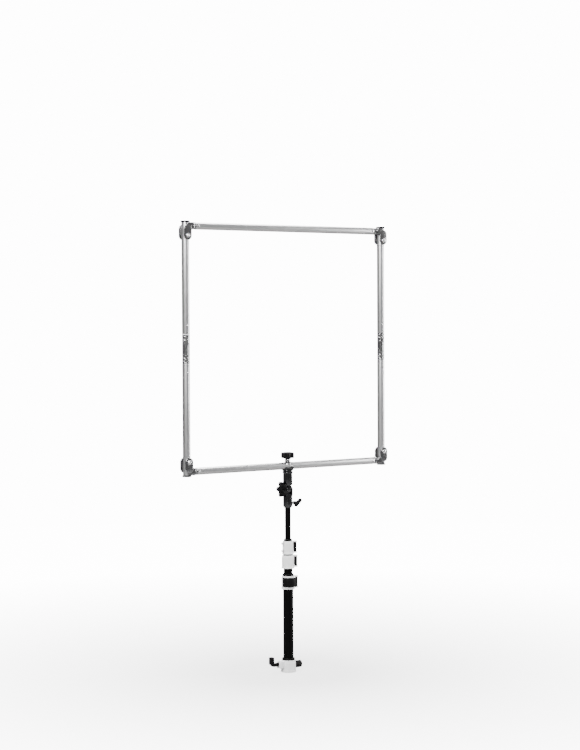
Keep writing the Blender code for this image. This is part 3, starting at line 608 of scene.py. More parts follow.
@dataclass
class FoldingFrame:
    """The square frame: bars, hinged half tubes, corner forks, caps, buttons and mid couplers."""

    bench: Bench
    wall: float = 0.0015
    ear_radius: float = 0.0145
    ear_gap: float = 0.0137  # from the side tube's axis to an ear
    ear_thickness: float = 0.005
    ear_rise: float = 0.004
    pivot_drop: float = 0.032
    web: float = 0.011
    neck: float = 0.011
    spigot_reach: float = 0.036  # of a fork into its bar
    boss: float = 0.0105  # raised ring round a pivot bolt
    shank: float = 0.004
    washer: float = 0.0075
    bolt_head: float = 0.0066
    nut: float = 0.0068
    cap_height: float = 0.0052
    cap_plug: float = 0.0108
    dome: float = 0.0022  # of a snap button
    groove: float = 0.0013
    coupler_plug: float = 0.050
    rib_pitch: float = 0.0120
    seam_cover: float = 0.0006  # closes most of the seam to the other half

    def tube(self, node: str, axis: Axis, key: str) -> None:
        """Builds a drawn tube with eased ends: a closed ring profile turned about its axis.

        Args:
            node: The CAD tube.
            axis: Its direction.
            key: Its finish.
        """
        low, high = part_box(node)
        centre = (low + high) / 2
        radius = (high.y - low.y) / 2
        half = (high.x - low.x) / 2 if axis is Axis.X else (high.z - low.z) / 2
        bore = radius - self.wall
        profile = [(radius, half), (radius, -half), (bore, -half), (bore, half)]
        self.bench.fit(Shell().ring(profile, centre, axis, 0.0005), node, key)

    def fork(self, name: str, side: int, inward: int) -> None:
        """Builds a corner fork: neck with beads, web, and two pillow-edged oblong ears with bosses.

        Args:
            name: The corner.
            side: -1 on the left and 1 on the right.
            inward: 1 where inward is up, from the bottom bar, and -1 at the top.
        """
        pivot = self.bench.centre("pivot_bolt_" + name)
        bar = "bottom_bar" if inward > 0 else "top_bar"
        low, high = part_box(bar)
        height, radius = (low.z + high.z) / 2, (high.z - low.z) / 2
        x_axis = pivot.x
        drop = inward * (pivot.z - height)
        along = Axis.X if side < 0 else Axis.BACK_X
        shell = Shell()
        top = self.ear_radius - self.ear_rise
        rim = arc((0, top), self.ear_radius, 180, 360, 24) + arc((0, drop), self.ear_radius, 0, 180, 24)
        ear = np.array([(x, z * inward) for x, z in rim])[::inward]
        reach = self.ear_gap + self.web
        arm_x = -side * reach
        arm = filleted(
            [(0, -radius * 0.95), (arm_x, -radius * 0.9), (arm_x, radius * 0.9), (0, radius * 0.95)],
            0.004,
            True,
        )
        arm = arm if side < 0 else arm[::-1]
        for front in (1, -1):
            inner, outer = sorted((front * self.ear_gap, front * (self.ear_gap + self.ear_thickness)))
            shell.plate(ear, inner, outer, (x_axis, 0, height), Axis.FRONT, 0.0016)
            shell.plate(arm, inner + CLEARANCE, outer - CLEARANCE, (x_axis, 0, height), Axis.FRONT, 0.0018)
            face = self.ear_gap + self.ear_thickness
            boss = [
                (0.0, face - 0.001), (self.boss, face - 0.001), (
                    self.boss, face + 0.0002
                ), (0.0, face + 0.0002)
            ]
            toward = Axis.FRONT if front > 0 else Axis.Y
            shell.turn(boss, (x_axis, 0, pivot.z), toward, 0.0004)
        width = 2 * (self.ear_gap + self.ear_thickness) - 0.0022
        block = slab(self.web, width, 0.003)
        middle = x_axis - side * (self.ear_gap + self.web / 2)
        shell.plate(block, -radius + 0.0006, radius - 0.0006, (middle, 0, height), Axis.Z, 0.0030)
        start = reach - 0.002
        end = reach + self.neck
        profile = [
            (0.0, start),
            (radius * 1.02, start),
            (radius * 1.02, start + 0.0045),
            (radius * 0.90, start + 0.0065),
        ]
        profile += [
            (radius * 0.90, end - 0.002), (radius * 0.97, end - 0.0018), (radius * 0.97, end), (0.0, end)
        ]
        shell.turn(profile, (x_axis, 0, height), along, 0.0008)
        spigot = radius - self.wall - CLEARANCE
        shell.turn(
            [
                (0.0, end - 0.001),
                (spigot, end - 0.001),
                (spigot, end + self.spigot_reach),
                (0.0, end + self.spigot_reach),
            ],
            (x_axis, 0, height),
            along,
        )
        self.bench.fit(shell, "corner_fork_" + name, "cast")

    def pivot_bolt(self, name: str) -> None:
        """Builds a pivot bolt: domed head with a socket, washer, shank and a hexagon nut behind.

        Args:
            name: The corner.
        """
        node = "pivot_bolt_" + name
        low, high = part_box(node)
        centre = self.bench.centre(node)
        face = self.ear_gap + self.ear_thickness + CLEARANCE
        head = -low.y
        profile = [
            (0.0, -face),
            (self.shank, -face),
            (self.shank, face),
            (self.washer, face),
            (self.washer, face + 0.0010),
            (self.bolt_head, face + 0.0010),
        ]
        profile += [
            (self.bolt_head, head - 0.0022),
            (0.0045, head - 0.0004),
            (0.0027, head),
            (0.0027, head - 0.002),
            (0.0, head - 0.002),
        ]
        shell = Shell().turn(profile, (centre.x, 0, centre.z), Axis.FRONT, 0.0006)
        shell.plate(hexagon(self.nut), face, high.y - 0.0004, (centre.x, 0, centre.z), Axis.Y, 0.0005)
        self.bench.fit(shell, node, "steel")

    def cap(self, name: str, inward: int) -> None:
        """Builds an end cap: a turned disc with a soft rim, a shallow dish and a plug.

        Args:
            name: The corner.
            inward: 1 at the bottom and -1 at the top.
        """
        node = "end_cap_" + name
        low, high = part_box(node)
        centre = (low + high) / 2
        radius = (high.x - low.x) / 2
        rise = (high.z - low.z) / 2
        axis = Axis.DOWN if inward > 0 else Axis.Z
        seat = rise - self.cap_height
        profile = [
            (0.0, rise - 0.0008),
            (radius * 0.62, rise - 0.0008),
            (radius * 0.72, rise),
            (radius, rise),
            (radius, seat),
        ]
        profile += [(self.cap_plug, seat), (0.0106, -rise), (0.0, -rise)]
        self.bench.fit(Shell().turn(profile, centre, axis, 0.0013), node, "plastic")

    def button(self, name: str) -> None:
        """Builds a snap button: a domed pin turned about the front axis.

        Args:
            name: The corner.
        """
        node = "snap_button_" + name
        low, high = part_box(node)
        centre = (low + high) / 2
        radius, half = (high.x - low.x) / 2, (high.y - low.y) / 2
        angle = np.linspace(np.pi / 2, 0.0, 10)
        dome = np.stack((radius * np.cos(angle), half - self.dome + self.dome * np.sin(angle)), axis=1)
        profile = np.concatenate((dome, [(radius, -half), (0.0, -half)]))
        self.bench.fit(Shell().rings(placed(turned(profile, 40), centre, Axis.FRONT)), node, "steel")

    def band(self, side_name: str, inward: int) -> None:
        """Builds a mid coupler whose radius falls by the groove depth in ribs and slots.

        The slanting ribs near its ends are where a sine of height plus six turns is high. The upright slots
        between them are where a cosine of five turns is high. Both fade in over a short way.

        Args:
            side_name: left or right.
            inward: 1 where its spigot goes down and -1 where it goes up.
        """
        node = "coupler_" + side_name
        low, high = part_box(node)
        plug = self.coupler_plug
        cover = self.seam_cover
        base, top = (low.z + plug, high.z + cover) if inward > 0 else (low.z - cover, high.z - plug)
        radius, half = (high.x - low.x) / 2, (top - base) / 2
        centre = ((low.x + high.x) / 2, 0.0, (top + base) / 2)
        height = np.linspace(-half, half, 221)[:, None]
        turn = np.linspace(0.0, 2 * np.pi, 144, endpoint=False)[None]
        share = np.abs(height) / half
        ribbed = step(share, 0.42, 0.47) * (1 - step(share, 0.90, 0.93))
        slant = np.sin(2 * np.pi * height / self.rib_pitch + 6 * turn)
        ribs = ribbed * step(slant, -0.1, 0.5)
        slotted = 1 - step(share, 0.33, 0.38)
        slots = slotted * step(np.cos(5 * turn + 0.8), 0.10, 0.5)
        edge = step(share, 0.985, 1.0) * 0.0005
        rim = radius - self.groove * np.clip(ribs + slots, 0.0, 1.0) - edge
        rings = np.stack((rim * np.cos(turn), rim * np.sin(turn), height + 0 * turn), axis=-1)
        shell = Shell().rings(placed(rings, centre, Axis.Z))
        inner = radius - self.wall - CLEARANCE
        spigot = [(0.0, half - 0.001), (inner, half - 0.001), (inner, half + plug), (0.0, half + plug)]
        shell.turn(spigot, centre, Axis.DOWN if inward > 0 else Axis.Z, 0.001)
        self.bench.fit(shell, node, "band")

    def plug(self, node: str) -> None:
        """Builds the spigot that stays in the other half tube, with eased ends.

        Args:
            node: The CAD plug.
        """
        low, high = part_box(node)
        centre = (low + high) / 2
        radius, half = (high.x - low.x) / 2, (high.z - low.z) / 2
        self.bench.fit(
            Shell().turn([(0.0, half), (radius, half), (radius, -half), (0.0, -half)], centre, Axis.Z),
            node,
            "plated",
        )

    def rivet(self, node: str) -> None:
        """Builds a rivet: a low dome with a centre dimple, turned about the front axis.

        Args:
            node: The CAD rivet.
        """
        low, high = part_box(node)
        centre = (low + high) / 2
        half = (high.y - low.y) / 2
        profile = [
            (0.0, half - 0.0006),
            (0.0011, half - 0.0006),
            (0.0014, half),
            (0.0025, half - 0.0003),
            (0.0033, half - 0.0014),
        ]
        profile += [(0.0022, half - 0.0015), (0.0022, -half), (0.0, -half)]
        self.bench.fit(Shell().turn(profile, centre, Axis.FRONT, 0.0002), node, "steel")

    def build(self) -> None:
        """Builds every piece of the frame."""
        self.tube("bottom_bar", Axis.X, "bar")
        self.tube("top_bar", Axis.X, "bar")
        corners = (
            ("lower_left", -1, 1), ("lower_right", 1, 1), ("upper_left", -1, -1), ("upper_right", 1, -1)
        )
        for name, side, inward in corners:
            self.tube("side_tube_" + name, Axis.Z, "side")
            self.fork(name, side, inward)
            self.pivot_bolt(name)
            self.cap(name, inward)
            self.button(name)
        self.band("left", 1)
        self.band("right", -1)
        for node in ("coupler_plug_left", "coupler_plug_right"):
            self.plug(node)
        for node in ("bottom_left", "bottom_middle", "bottom_right", "top_left", "top_right"):
            self.rivet("rivet_" + node)


@dataclass
class TiltingHead:
    """The adapter: saddle and tongue, socket body with its fork, knobs and screws."""

    bench: Bench
    width: float = 0.026
    tongue: float = 0.011
    cheek: float = 0.0069
    shoulder: float = 0.0150  # above the tilt axis
    slot_low: float = 0.0150  # below the tilt axis

    def tab(self, radius: float, below: float) -> np.ndarray:
        """A tab's outline about the pivot, round above: local across is Y and local up is -Z along +X."""
        rim = [(-radius, -below), (radius, -below)] + arc((0, 0), radius, 0, 180, 28)
        return np.array(rim)

    def head(self) -> None:
        """Builds the tilt head: tongue plate, square neck, and a saddle swept under the bar."""
        low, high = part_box("tilt_head")
        bar_low, bar_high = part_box("bottom_bar")
        bar_z, bar_radius = (bar_low.z + bar_high.z) / 2, (bar_high.z - bar_low.z) / 2
        tilt = self.bench.centre("tilt_pivot_bolt").z
        shell = Shell()
        tongue = self.tab(0.0127, self.shoulder + 0.003) * (1.0, -1.0)
        shell.plate(tongue[::-1], -self.tongue / 2, self.tongue / 2, (0, 0, tilt), Axis.X, 0.0010)
        neck_top = bar_z - bar_radius - 0.001
        neck = slab(self.width, self.width, 0.006)
        shell.plate(neck, tilt + self.shoulder, neck_top, (0, 0, 0), Axis.Z, 0.0016)
        collar = slab(self.width + 0.003, self.width + 0.003, 0.007)
        shell.plate(collar, neck_top - 0.012, neck_top - 0.006, (0, 0, 0), Axis.Z, 0.0018)
        half = (high.x - low.x) / 2
        angle = np.radians(np.linspace(200, 340, 36))
        inner = (bar_radius + CLEARANCE) * np.stack((np.cos(angle), np.sin(angle)), axis=1)
        outer = (bar_radius + 0.0036) * np.stack((np.cos(angle), 1.12 * np.sin(angle)), axis=1)
        shell.rings(placed(sweep(inner, outer, -half, half, 0.0010), (0, 0, bar_z), Axis.X))
        self.bench.fit(shell, "tilt_head", "plated")

    def socket(self) -> None:
        """Builds the socket body: a square barrel with a lip, two round-topped cheeks and pivot bosses."""
        low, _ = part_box("socket_body")
        tilt = self.bench.centre("tilt_pivot_bolt").z
        half = self.width / 2
        shell = Shell()
        barrel = slab(self.width, self.width, 0.006)
        shell.plate(barrel, low.z + 0.0035, tilt - self.slot_low, (0, 0, 0), Axis.Z, 0.0014)
        shell.turn(
            [(0.0, low.z), (0.0128, low.z), (0.0128, low.z + 0.006), (0.0, low.z + 0.006)],
            (0, 0, 0),
            Axis.Z,
            0.001,
        )
        for side in (1, -1):
            inner, outer = sorted((side * (half - self.cheek), side * half))
            cheek = self.tab(half - 0.0002, self.slot_low + 0.004)
            shell.plate(cheek, inner, outer, (0, 0, tilt), Axis.X, 0.0014)
            axis = Axis.X if side > 0 else Axis.BACK_X
            boss = [
                (0.0, half - 0.001), (0.0095, half - 0.001), (0.0095, half + 0.0002), (0.0, half + 0.0002)
            ]
            shell.turn(boss, (0, 0, tilt), axis, 0.0003)
        for front in (1, -1):
            rib = filleted(
                [(-0.0045, -0.016), (0.0045, -0.016), (0.0045, 0.008), (-0.0045, 0.008)], 0.004, True, 8
            )
            shell.plate(
                rib,
                half - 0.001,
                half + 0.0014,
                (0, 0, low.z + 0.024),
                Axis.FRONT if front > 0 else Axis.Y,
                0.0008,
            )
        hole_z = self.bench.centre("wing_screw").z
        shell.turn(
            [(0.0, half - 0.001), (0.0075, half - 0.001), (0.0068, half + 0.0022), (0.0, half + 0.0022)],
            (0, 0, hole_z),
            Axis.X,
            0.0006,
        )
        self.bench.fit(shell, "socket_body", "plated")

    def pivot(self) -> None:
        """Builds the tilt bolt: shank, hexagon head with a washer face."""
        low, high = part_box("tilt_pivot_bolt")
        centre = (low + high) / 2
        half = self.width / 2 + CLEARANCE
        shank = [
            (0.0, low.x),
            (0.004, low.x),
            (0.004, half),
            (0.007, half),
            (0.007, half + 0.0008),
            (0.0, half + 0.0008),
        ]
        shell = Shell().turn(shank, (0, 0, centre.z), Axis.X, 0.0003)
        shell.plate(hexagon(0.0070), half + 0.0006, high.x, (0, 0, centre.z), Axis.X, 0.0005)
        self.bench.fit(shell, "tilt_pivot_bolt", "steel")

    def star_knob(self) -> None:
        """Builds the tilt knob: a five-lobed pillow with a hub and a dished middle."""
        low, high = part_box("tilt_knob")
        centre = (low + high) / 2
        back, face = -high.x, -low.x
        rim = lobes(0.0268, 0.0125, 5, 0.62, 26)
        shell = Shell().plate(rim, face - 0.0148, face - 0.0015, (0, 0, centre.z), Axis.BACK_X, 0.0032)
        hub = [
            (0.0, back),
            (0.010, back),
            (0.0125, face - 0.012),
            (0.0125, face),
            (0.009, face),
            (0.008, face - 0.0012),
            (0.0, face - 0.0012),
        ]
        shell.turn(hub, (0, 0, centre.z), Axis.BACK_X, 0.0008)
        self.bench.fit(shell, "tilt_knob", "plastic")

    def wing(self) -> None:
        """Builds the wing screw: shank, tapered hub and a slanting two-ended blade with soft edges."""
        low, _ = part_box("wing_screw")
        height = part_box("socket_body")[0].z + 0.015
        start, hub = self.width / 2 + 0.0100, 0.038
        steel = [(0.0, low.x), (0.004, low.x), (0.004, start + 0.001), (0.0, start + 0.001)]
        sleeve = [(0.0, start), (0.0062, start), (0.0056, hub), (0.0, hub)]
        self.bench.add(Shell().turn(steel, (0, 0, height), Axis.X), "wing_screw_shank", "wing_screw", "steel")
        shell = Shell().turn(sleeve, (0, 0, height), Axis.X, 0.001)
        turn = math.radians(40.0)
        rim = np.array(arc((0.0115, 0), 0.0062, -80, 80, 12) + arc((-0.0095, 0), 0.0078, 100, 260, 12))
        spin = np.array(((math.cos(turn), math.sin(turn)), (-math.sin(turn), math.cos(turn))))
        shell.plate(rim @ spin, -0.0040, 0.0040, (0.0424, 0, height), Axis.FRONT, 0.0026)
        self.bench.fit(shell, "wing_screw", "plastic")

    def clamp(self) -> None:
        """Builds the cone washer, the lobed clamp knob with its neck and dished top, and the screw."""
        low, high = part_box("cone_washer")
        cone = [(0.0, low.z), (0.0150, low.z), (0.0146, low.z + 0.0012), (0.0082, high.z), (0.0, high.z)]
        self.bench.fit(Shell().turn(cone, (0, 0, 0), Axis.Z, 0.0008), "cone_washer", "steel")
        low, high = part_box("clamp_knob")
        rim = lobes(0.0240, 0.0052, 6, 0.75, 22)
        shell = Shell().plate(rim, high.z - 0.0200, high.z - 0.0012, (0, 0, 0), Axis.Z, 0.0036)
        neck = [(0.0, low.z), (0.0093, low.z), (0.0090, low.z + 0.0060), (0.0, low.z + 0.0060)]
        ferrule = Shell().turn(neck, (0, 0, 0), Axis.Z, 0.0010)
        self.bench.add(ferrule, "clamp_knob_ferrule", "clamp_knob", "steel")
        throat = [
            (0.0, low.z + 0.0057), (0.0090, low.z + 0.0057), (0.0132, low.z + 0.0115), (0.0, low.z + 0.0115)
        ]
        shell.turn(throat, (0, 0, 0), Axis.Z, 0.0008)
        crown = [
            (0.0, high.z - 0.004),
            (0.0150, high.z - 0.004),
            (0.0145, high.z),
            (0.0120, high.z),
            (0.0110, high.z - 0.0010),
        ]
        shell.turn(crown + [(0.0, high.z - 0.0010)], (0, 0, 0), Axis.Z, 0.0006)
        self.bench.fit(shell, "clamp_knob", "plastic")
        low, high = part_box("clamp_screw")
        rod = [(0.0, low.z), (0.0032, low.z), (0.0040, low.z + 0.001), (0.0040, high.z), (0.0, high.z)]
        self.bench.fit(Shell().turn(rod, (0, 0, 0), Axis.Z, 0.0002), "clamp_screw", "steel")

    def build(self) -> None:
        """Builds every piece of the adapter."""
        self.head()
        self.socket()
        self.pivot()
        self.star_knob()
        self.wing()
        self.clamp()


@dataclass
class Collar:
    """One lock collar with its lever, bush and lug bosses."""

    bench: Bench
    number: int
    wrap: int
    sweep: float  # degrees of the collar that the closed lever wraps
    heading: float = -22.0  # of its pin
    grip: float = 0.0065  # lever thickness
    pin_out: float = 0.0065  # pin axis outside the collar's wall
    rise: float = 0.024  # lever's middle above the collar's foot

    def build(self) -> None:
        """Builds the collar, its bush and its lever."""
        self.body()
        self.bush()
        self.lever()

    def sizes(self) -> tuple[float, float, float, float]:
        """Reads the collar's heights from its CAD box and looks up its radii.

        Returns:
            Foot height, top height, wall radius and bore radius.
        """
        low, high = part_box(f"lock_collar_{self.number}")
        radius = {3: 0.0220, 2: 0.0208, 1: 0.0187}[self.number]
        bore = {3: 0.0175, 2: 0.0150, 1: 0.0125}[self.number] + CLEARANCE
        return low.z, high.z, radius, bore

    def body(self) -> None:
        """Builds the collar: a ring with a flared foot, a groove, a rounded shoulder and two lever lugs."""
        base, top, radius, bore = self.sizes()
        height = top - base
        profile = [
            (bore, 0.0), (radius + 0.0008, 0.0), (radius + 0.0008, 0.0045), (radius, 0.0060), (radius, 0.0078)
        ]
        profile += [
            (radius - 0.0006, 0.0082), (radius - 0.0006, 0.0092), (radius, 0.0096), (radius, height - 0.006)
        ]
        profile += [(radius - 0.0012, height - 0.0035), (radius - 0.0012, height), (bore, height)]
        shell = Shell().ring(profile, (0, 0, base), Axis.Z, 0.0007)
        angle = math.radians(self.heading)
        pin = np.array(((radius + self.pin_out) * math.cos(angle), (radius + self.pin_out) * math.sin(angle)))
        side = np.array((-math.sin(angle), math.cos(angle)))
        root = np.array((math.cos(angle), math.sin(angle))) * (bore + 0.002)
        rim = arc((0, 0), self.pin_out - 0.0002, self.heading - 90, self.heading + 90, 20)
        lug = np.array([pin + point for point in rim] + [root + side * 0.008, root - side * 0.008])
        low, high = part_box(f"lever_{self.number}")
        for bottom, height in ((low.z - 0.0044, 0.0040), (high.z + 0.0004, 0.0040)):
            shell.plate(lug, bottom, bottom + height, (0, 0, 0), Axis.Z, 0.0010)
        self.bench.fit(shell, f"lock_collar_{self.number}", "paint")

    def bush(self) -> None:
        """Builds the wiper bush: a ring with a rounded flange and a lip."""
        low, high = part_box(f"bush_{self.number}")
        _, top, _, bore = self.sizes()
        flange = (high.x - low.x) / 2
        inner = {3: 0.0150, 2: 0.0125, 1: 0.0100}[self.number] + CLEARANCE
        profile = [
            (inner, low.z), (bore - 0.0006, low.z), (
                bore - 0.0006, top + CLEARANCE
            ), (flange, top + CLEARANCE)
        ]
        profile += [(flange, high.z - 0.0008), (flange - 0.001, high.z), (inner, high.z)]
        self.bench.fit(Shell().ring(profile, (0, 0, 0), Axis.Z, 0.0005), f"bush_{self.number}", "plastic")

    def lever(self) -> None:
        """Builds the lever: a swept pad that follows the collar, thins to its tip, and an eye on the pin."""
        low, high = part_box(f"lever_{self.number}")
        _, _, radius, _ = self.sizes()
        share = np.linspace(0.0, 1.0, 64)
        turn = np.radians(self.heading + self.wrap * (6.5 + (self.sweep - 7.0) * share))
        ray = np.stack((np.cos(turn), np.sin(turn)), axis=1)
        start = radius + 0.0014
        swell = self.grip * (0.62 + 0.38 * np.sin(np.pi * np.clip(share * 1.15, 0.0, 1.0)) ** 0.7)
        inner, outer = ray * start, ray * (start + swell)[:, None]
        if self.wrap > 0:
            inner, outer = inner[::-1], outer[::-1]
        middle, half = (low.z + high.z) / 2, (high.z - low.z) / 2
        shell = Shell().rings(placed(sweep(inner, outer, -half, half, 0.0022), (0, 0, middle), Axis.Z))
        angle = math.radians(self.heading)
        pin = ((radius + self.pin_out) * math.cos(angle), (radius + self.pin_out) * math.sin(angle), middle)
        shell.turn([(0.0, -half), (0.0048, -half), (0.0048, half), (0.0, half)], pin, Axis.Z, 0.0008)
        self.bench.fit(shell, f"lever_{self.number}", "plastic")


@dataclass
class Stand:
    """The telescopic column: tubes, stud, collars, clamp bolts and the base clamp."""

    bench: Bench
    fit: float = 0.0178  # radius round the column
    pin: tuple[float, float] = (-0.0385, 0.028)  # of the base lever, X and Z
    knob_height: float = 0.022
    arm: float = 0.0058  # half the base lever's width in the plane
    arm_depth: float = 0.0048  # half of it along Y

    def tube(self, node: str, bore: float) -> None:
        """Builds a round tube with eased rims.

        Args:
            node: The CAD tube.
            bore: Its bore radius.
        """
        low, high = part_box(node)
        radius = (high.x - low.x) / 2
        profile = [(radius, low.z), (radius, high.z), (bore, high.z), (bore, low.z)]
        self.bench.fit(Shell().ring(profile, (0, 0, 0), Axis.Z, 0.0006), node, "tube")

    def stud(self) -> None:
        """Builds the stud: a plug in the tube, a shoulder as wide as the tube and a grooved pin."""
        low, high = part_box("riser_stud")
        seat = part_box("riser_1")[1].z + CLEARANCE
        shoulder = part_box("socket_body")[0].z - CLEARANCE
        profile = [
            (0.0, low.z),
            (0.0080, low.z),
            (0.0080, seat),
            (0.0100, seat),
            (0.0100, shoulder),
            (0.0080, shoulder),
        ]
        profile += [(0.0080, shoulder + 0.012), (0.0068, shoulder + 0.014), (0.0068, shoulder + 0.024)]
        profile += [(0.0080, shoulder + 0.026), (0.0080, high.z), (0.0, high.z)]
        self.bench.fit(Shell().turn(profile, (0, 0, 0), Axis.Z, 0.0004), "riser_stud", "tube")

    def bolt(self, node: str) -> None:
        """Builds a clamp bolt: shank and hexagon head, along its heading from the column.

        Args:
            node: The CAD bolt.
        """
        low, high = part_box(node)
        centre = (low + high) / 2
        axis = Axis.X if centre.x > 0 else Axis.BACK_X
        half = (high.x - low.x) / 2
        shell = Shell().plate(hexagon(0.0040), half - 0.0034, half - 0.0004, centre, axis, 0.0006)
        shell.turn(
            [(0.0, -half), (0.0030, -half), (0.0030, half - 0.003), (0.0, half - 0.003)], centre, axis, 0.0003
        )
        self.bench.fit(shell, node, "steel")

    def base(self) -> None:
        """Builds the base clamp: closed ring with slotted lug and boss, bush, lever and knob."""
        low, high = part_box("base_collar")
        profile = [
            (0.0, low.z),
            (0.0258, low.z),
            (0.0258, 0.005),
            (0.0250, 0.0062),
            (0.0250, 0.030),
            (0.0236, high.z - 0.004),
        ]
        profile += [(0.0236, high.z), (self.fit, high.z), (self.fit, 0.006), (0.0, 0.006)]
        shell = Shell().turn(profile, (0, 0, 0), Axis.Z, 0.0010)
        for side in (1, -1):
            inner, outer = sorted((side * 0.0058, side * 0.0095))
            cheek = filleted(
                [(-0.0435, 0.0142), (-0.020, 0.0142), (-0.020, 0.0378), (-0.0435, 0.0378)], 0.0070, True, 8
            )
            shell.plate(cheek, inner, outer, (0, 0, 0), Axis.FRONT, 0.0011)
        bridge = slab(0.008, 0.018, 0.002)
        shell.plate(bridge, 0.0148, 0.0372, (-0.0235, 0, 0), Axis.Z, 0.0012)
        boss = [(0.0, 0.018), (0.0108, 0.018), (0.0108, 0.0295), (0.0085, 0.0328), (0.0, 0.0328)]
        shell.turn(boss, (0, 0, self.knob_height), Axis.X, 0.0010)
        self.bench.fit(shell, "base_collar", "paint")
        low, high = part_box("base_bush")
        rim, mouth, seat = (high.x - low.x) / 2, 0.0205, 0.0403
        profile = [(self.fit, low.z), (mouth, low.z), (mouth, seat), (rim, seat), (rim, high.z - 0.001)]
        profile += [(rim - 0.0012, high.z), (self.fit, high.z)]
        self.bench.fit(Shell().ring(profile, (0, 0, 0), Axis.Z, 0.0005), "base_bush", "plastic")
        self.base_lever()
        low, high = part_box("base_knob")
        shell = Shell().plate(
            lobes(0.0124, 0.0010, 12, 0.9, 8), low.x + 0.003, high.x, (0, 0, self.knob_height), Axis.X, 0.0022
        )
        shell.turn(
            [(0.0, low.x), (0.0090, low.x), (0.0095, low.x + 0.005), (0.0, low.x + 0.005)],
            (0, 0, self.knob_height),
            Axis.X,
            0.0006,
        )
        self.bench.fit(shell, "base_knob", "plastic")

    def base_lever(self) -> None:
        """Builds the base lever: an arm swept outward that turns up into a rounded grip."""
        low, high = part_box("base_lever")
        half = (high.y - low.y) / 2
        route = filleted(
            [self.pin, (low.x + 0.0065, self.pin[1]), (low.x + 0.0065, high.z)], 0.010, False, 14
        )
        keep = np.concatenate(([True], np.linalg.norm(np.diff(route, axis=0), axis=1) > 1e-7))
        route = route[keep]
        line = np.gradient(route, axis=0)
        line /= np.linalg.norm(line, axis=1)[:, None]
        normal = np.stack((line[:, 1], -line[:, 0]), axis=1)
        thick = np.full(len(route), self.arm)[:, None]
        shell = Shell().rings(
            placed(
                sweep(
                    route - normal * thick, route + normal * thick, -self.arm_depth, self.arm_depth, 0.0018
                ),
                (0, 0, 0),
                Axis.FRONT,
            ),
        )
        eye_end, eye_radius = self.arm_depth, 0.0060
        eye = [(0.0, -eye_end), (eye_radius, -eye_end), (eye_radius, eye_end), (0.0, eye_end)]
        shell.turn(eye, (self.pin[0], 0, self.pin[1]), Axis.FRONT, 0.0008)
        grip = slab(0.0128, 2 * half - 0.0002, 0.005)
        shell.plate(grip, 0.030, high.z, (low.x + 0.0066, 0, 0), Axis.Z, 0.0024)
        self.bench.fit(shell, "base_lever", "plastic")

    def build(self) -> None:
        """Builds every piece of the stand."""
        self.tube("column", 0.0153)
        self.tube("riser_3", 0.0128)
        self.tube("riser_2", 0.0103)
        self.tube("riser_1", 0.0083)
        self.stud()
        for number, wrap, sweep in ((3, -1, 145.0), (2, 1, 100.0), (1, 1, 100.0)):
            Collar(self.bench, number, wrap, sweep).build()
        for node in ("clamp_bolt_3_1", "clamp_bolt_1_1", "clamp_bolt_1_2"):
            self.bolt(node)
        self.base()


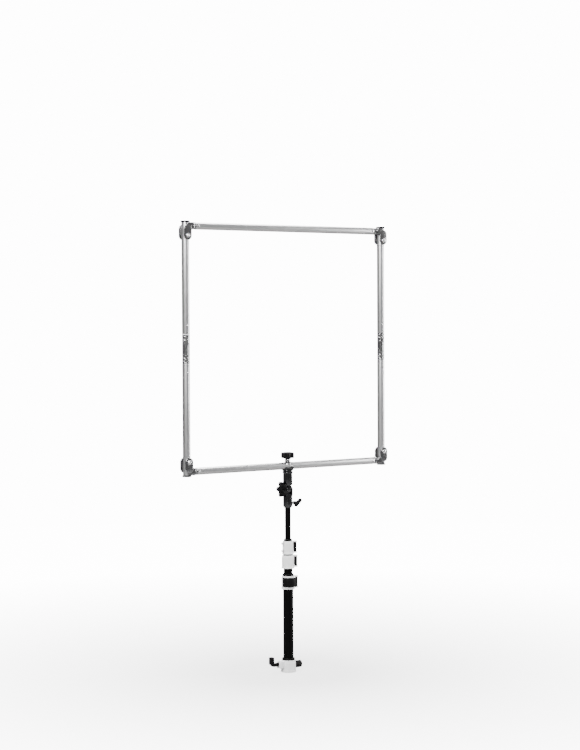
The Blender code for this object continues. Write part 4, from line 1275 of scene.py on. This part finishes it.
@dataclass
class Studio:
    """Camera, lights, world and floor."""

    lens: float = 86.54
    place: tuple[float, float, float] = (-3.479, -4.991, 1.194)
    heading: float = 34.97  # degrees from +Y toward +X
    pitch: float = -1.77
    roll: float = -0.27

    def camera(self) -> None:
        """Sets the camera: pointed by heading, pitch and roll, with its depth of field off."""
        data = bpy.data.cameras.new("studio_camera")
        data.lens, data.sensor_width, data.dof.use_dof = self.lens, 36.0, False
        data.clip_end = 60.0
        item = bpy.data.objects.new("studio_camera", data)
        heading = Euler(
            (math.radians(90 + self.pitch), 0.0, math.radians(-self.heading))
        ).to_matrix().to_4x4()
        item.matrix_world = Matrix.Translation(self.place) @ heading @ Matrix.Rotation(
            math.radians(self.roll), 4, "Z"
        )
        bpy.context.scene.collection.objects.link(item)
        bpy.context.scene.camera = item

    def light(self, name: str, place: tuple, aim: tuple, size: tuple[float, float], power: float) -> None:
        """Adds a soft rectangular light.

        Args:
            name: Its name.
            place: Where it stands.
            aim: What it points at.
            size: Width and height.
            power: Watts.
        """
        data = bpy.data.lights.new(name, "AREA")
        data.shape, data.size, data.size_y, data.energy = "RECTANGLE", size[0], size[1], power
        item = bpy.data.objects.new(name, data)
        item.location = place
        item.rotation_euler = (Vector(aim) - Vector(place)).to_track_quat("-Z", "Y").to_euler()
        bpy.context.scene.collection.objects.link(item)

    def world(self) -> None:
        """Makes the room: near white to the camera, and a grey gradient by height to everything else."""
        world = bpy.data.worlds.new("studio_room")
        bpy.context.scene.world = world
        world.use_nodes = True
        tree = world.node_tree
        tree.nodes.clear()
        out = tree.nodes.new("ShaderNodeOutputWorld")
        path = tree.nodes.new("ShaderNodeLightPath")
        seen, room = tree.nodes.new("ShaderNodeBackground"), tree.nodes.new("ShaderNodeBackground")
        seen.inputs["Color"].default_value = (1.0, 1.0, 1.0, 1.0)
        seen.inputs["Strength"].default_value = BACKDROP
        ramp = tree.nodes.new("ShaderNodeValToRGB")
        coords, split = tree.nodes.new("ShaderNodeTexCoord"), tree.nodes.new("ShaderNodeSeparateXYZ")
        scale = tree.nodes.new("ShaderNodeMapRange")
        scale.inputs["From Min"].default_value = -1.0
        tree.links.new(coords.outputs["Generated"], split.inputs[0])
        tree.links.new(split.outputs["Z"], scale.inputs["Value"])
        tree.links.new(scale.outputs["Result"], ramp.inputs["Fac"])
        ramp.color_ramp.elements[0].color = (0.10, 0.10, 0.10, 1.0)
        ramp.color_ramp.elements[0].position = 0.30
        ramp.color_ramp.elements[1].color = (0.75, 0.75, 0.76, 1.0)
        ramp.color_ramp.elements[1].position = 0.85
        tree.links.new(ramp.outputs["Color"], room.inputs["Color"])
        room.inputs["Strength"].default_value = 0.7
        mix = tree.nodes.new("ShaderNodeMixShader")
        tree.links.new(path.outputs["Is Camera Ray"], mix.inputs[0])
        tree.links.new(room.outputs[0], mix.inputs[1])
        tree.links.new(seen.outputs[0], mix.inputs[2])
        tree.links.new(mix.outputs[0], out.inputs["Surface"])

    def floor(self) -> None:
        """Lays the pale floor, a wide round disc of rings whose far rim sinks a little."""
        radius = np.linspace(0.002, 5.0, 40)[:, None]
        turn = np.linspace(0.0, 2 * np.pi, 96, endpoint=False)[None]
        height = -0.0015 - 0.002 * radius**2 + 0 * turn
        rings = np.stack((radius * np.cos(turn), radius * np.sin(turn), height), axis=-1)
        item = Shell().rings(rings).made("studio_floor")
        pale = bpy.data.materials.new("studio_floor_pale")
        pale.use_nodes = True
        tree = pale.node_tree
        surface = tree.nodes["Principled BSDF"]
        surface.inputs["Base Color"].default_value = (0.25, 0.25, 0.25, 1.0)
        surface.inputs["Roughness"].default_value = 0.85
        surface.inputs["Emission Color"].default_value = (1.0, 1.0, 1.0, 1.0)
        coords, length = tree.nodes.new("ShaderNodeTexCoord"), tree.nodes.new("ShaderNodeVectorMath")
        length.operation = "LENGTH"
        fade, path, both = (
            tree.nodes.new(kind) for kind in ("ShaderNodeMapRange", "ShaderNodeLightPath", "ShaderNodeMath")
        )
        fade.inputs["From Min"].default_value, fade.inputs["From Max"].default_value = 0.2, 2.6
        fade.inputs["To Min"].default_value, fade.inputs["To Max"].default_value = 3.0, BACKDROP
        both.operation = "MULTIPLY"
        tree.links.new(coords.outputs["Object"], length.inputs[0])
        tree.links.new(length.outputs["Value"], fade.inputs["Value"])
        tree.links.new(fade.outputs["Result"], both.inputs[0])
        tree.links.new(path.outputs["Is Camera Ray"], both.inputs[1])
        tree.links.new(both.outputs["Value"], surface.inputs["Emission Strength"])
        item.data.materials.append(pale)

    def build(self) -> None:
        """Sets the whole stage."""
        self.camera()
        self.world()
        self.floor()
        self.light("key_soft", (-2.6, -2.2, 3.0), (0.0, 0.0, 0.9), (1.6, 1.6), 330.0)
        self.light("side_strip", (3.2, -1.6, 1.6), (0.2, 0.0, 0.9), (0.5, 2.4), 150.0)
        self.light("top_wide", (0.2, 0.8, 3.6), (0.0, 0.0, 0.8), (2.6, 1.4), 260.0)


def main() -> None:
    """Builds the part, its finishes and the stage in order."""
    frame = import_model()
    bench = Bench(frame)
    FoldingFrame(bench).build()
    TiltingHead(bench).build()
    Stand(bench).build()
    Studio().build()


if __name__ == "__main__":
    main()
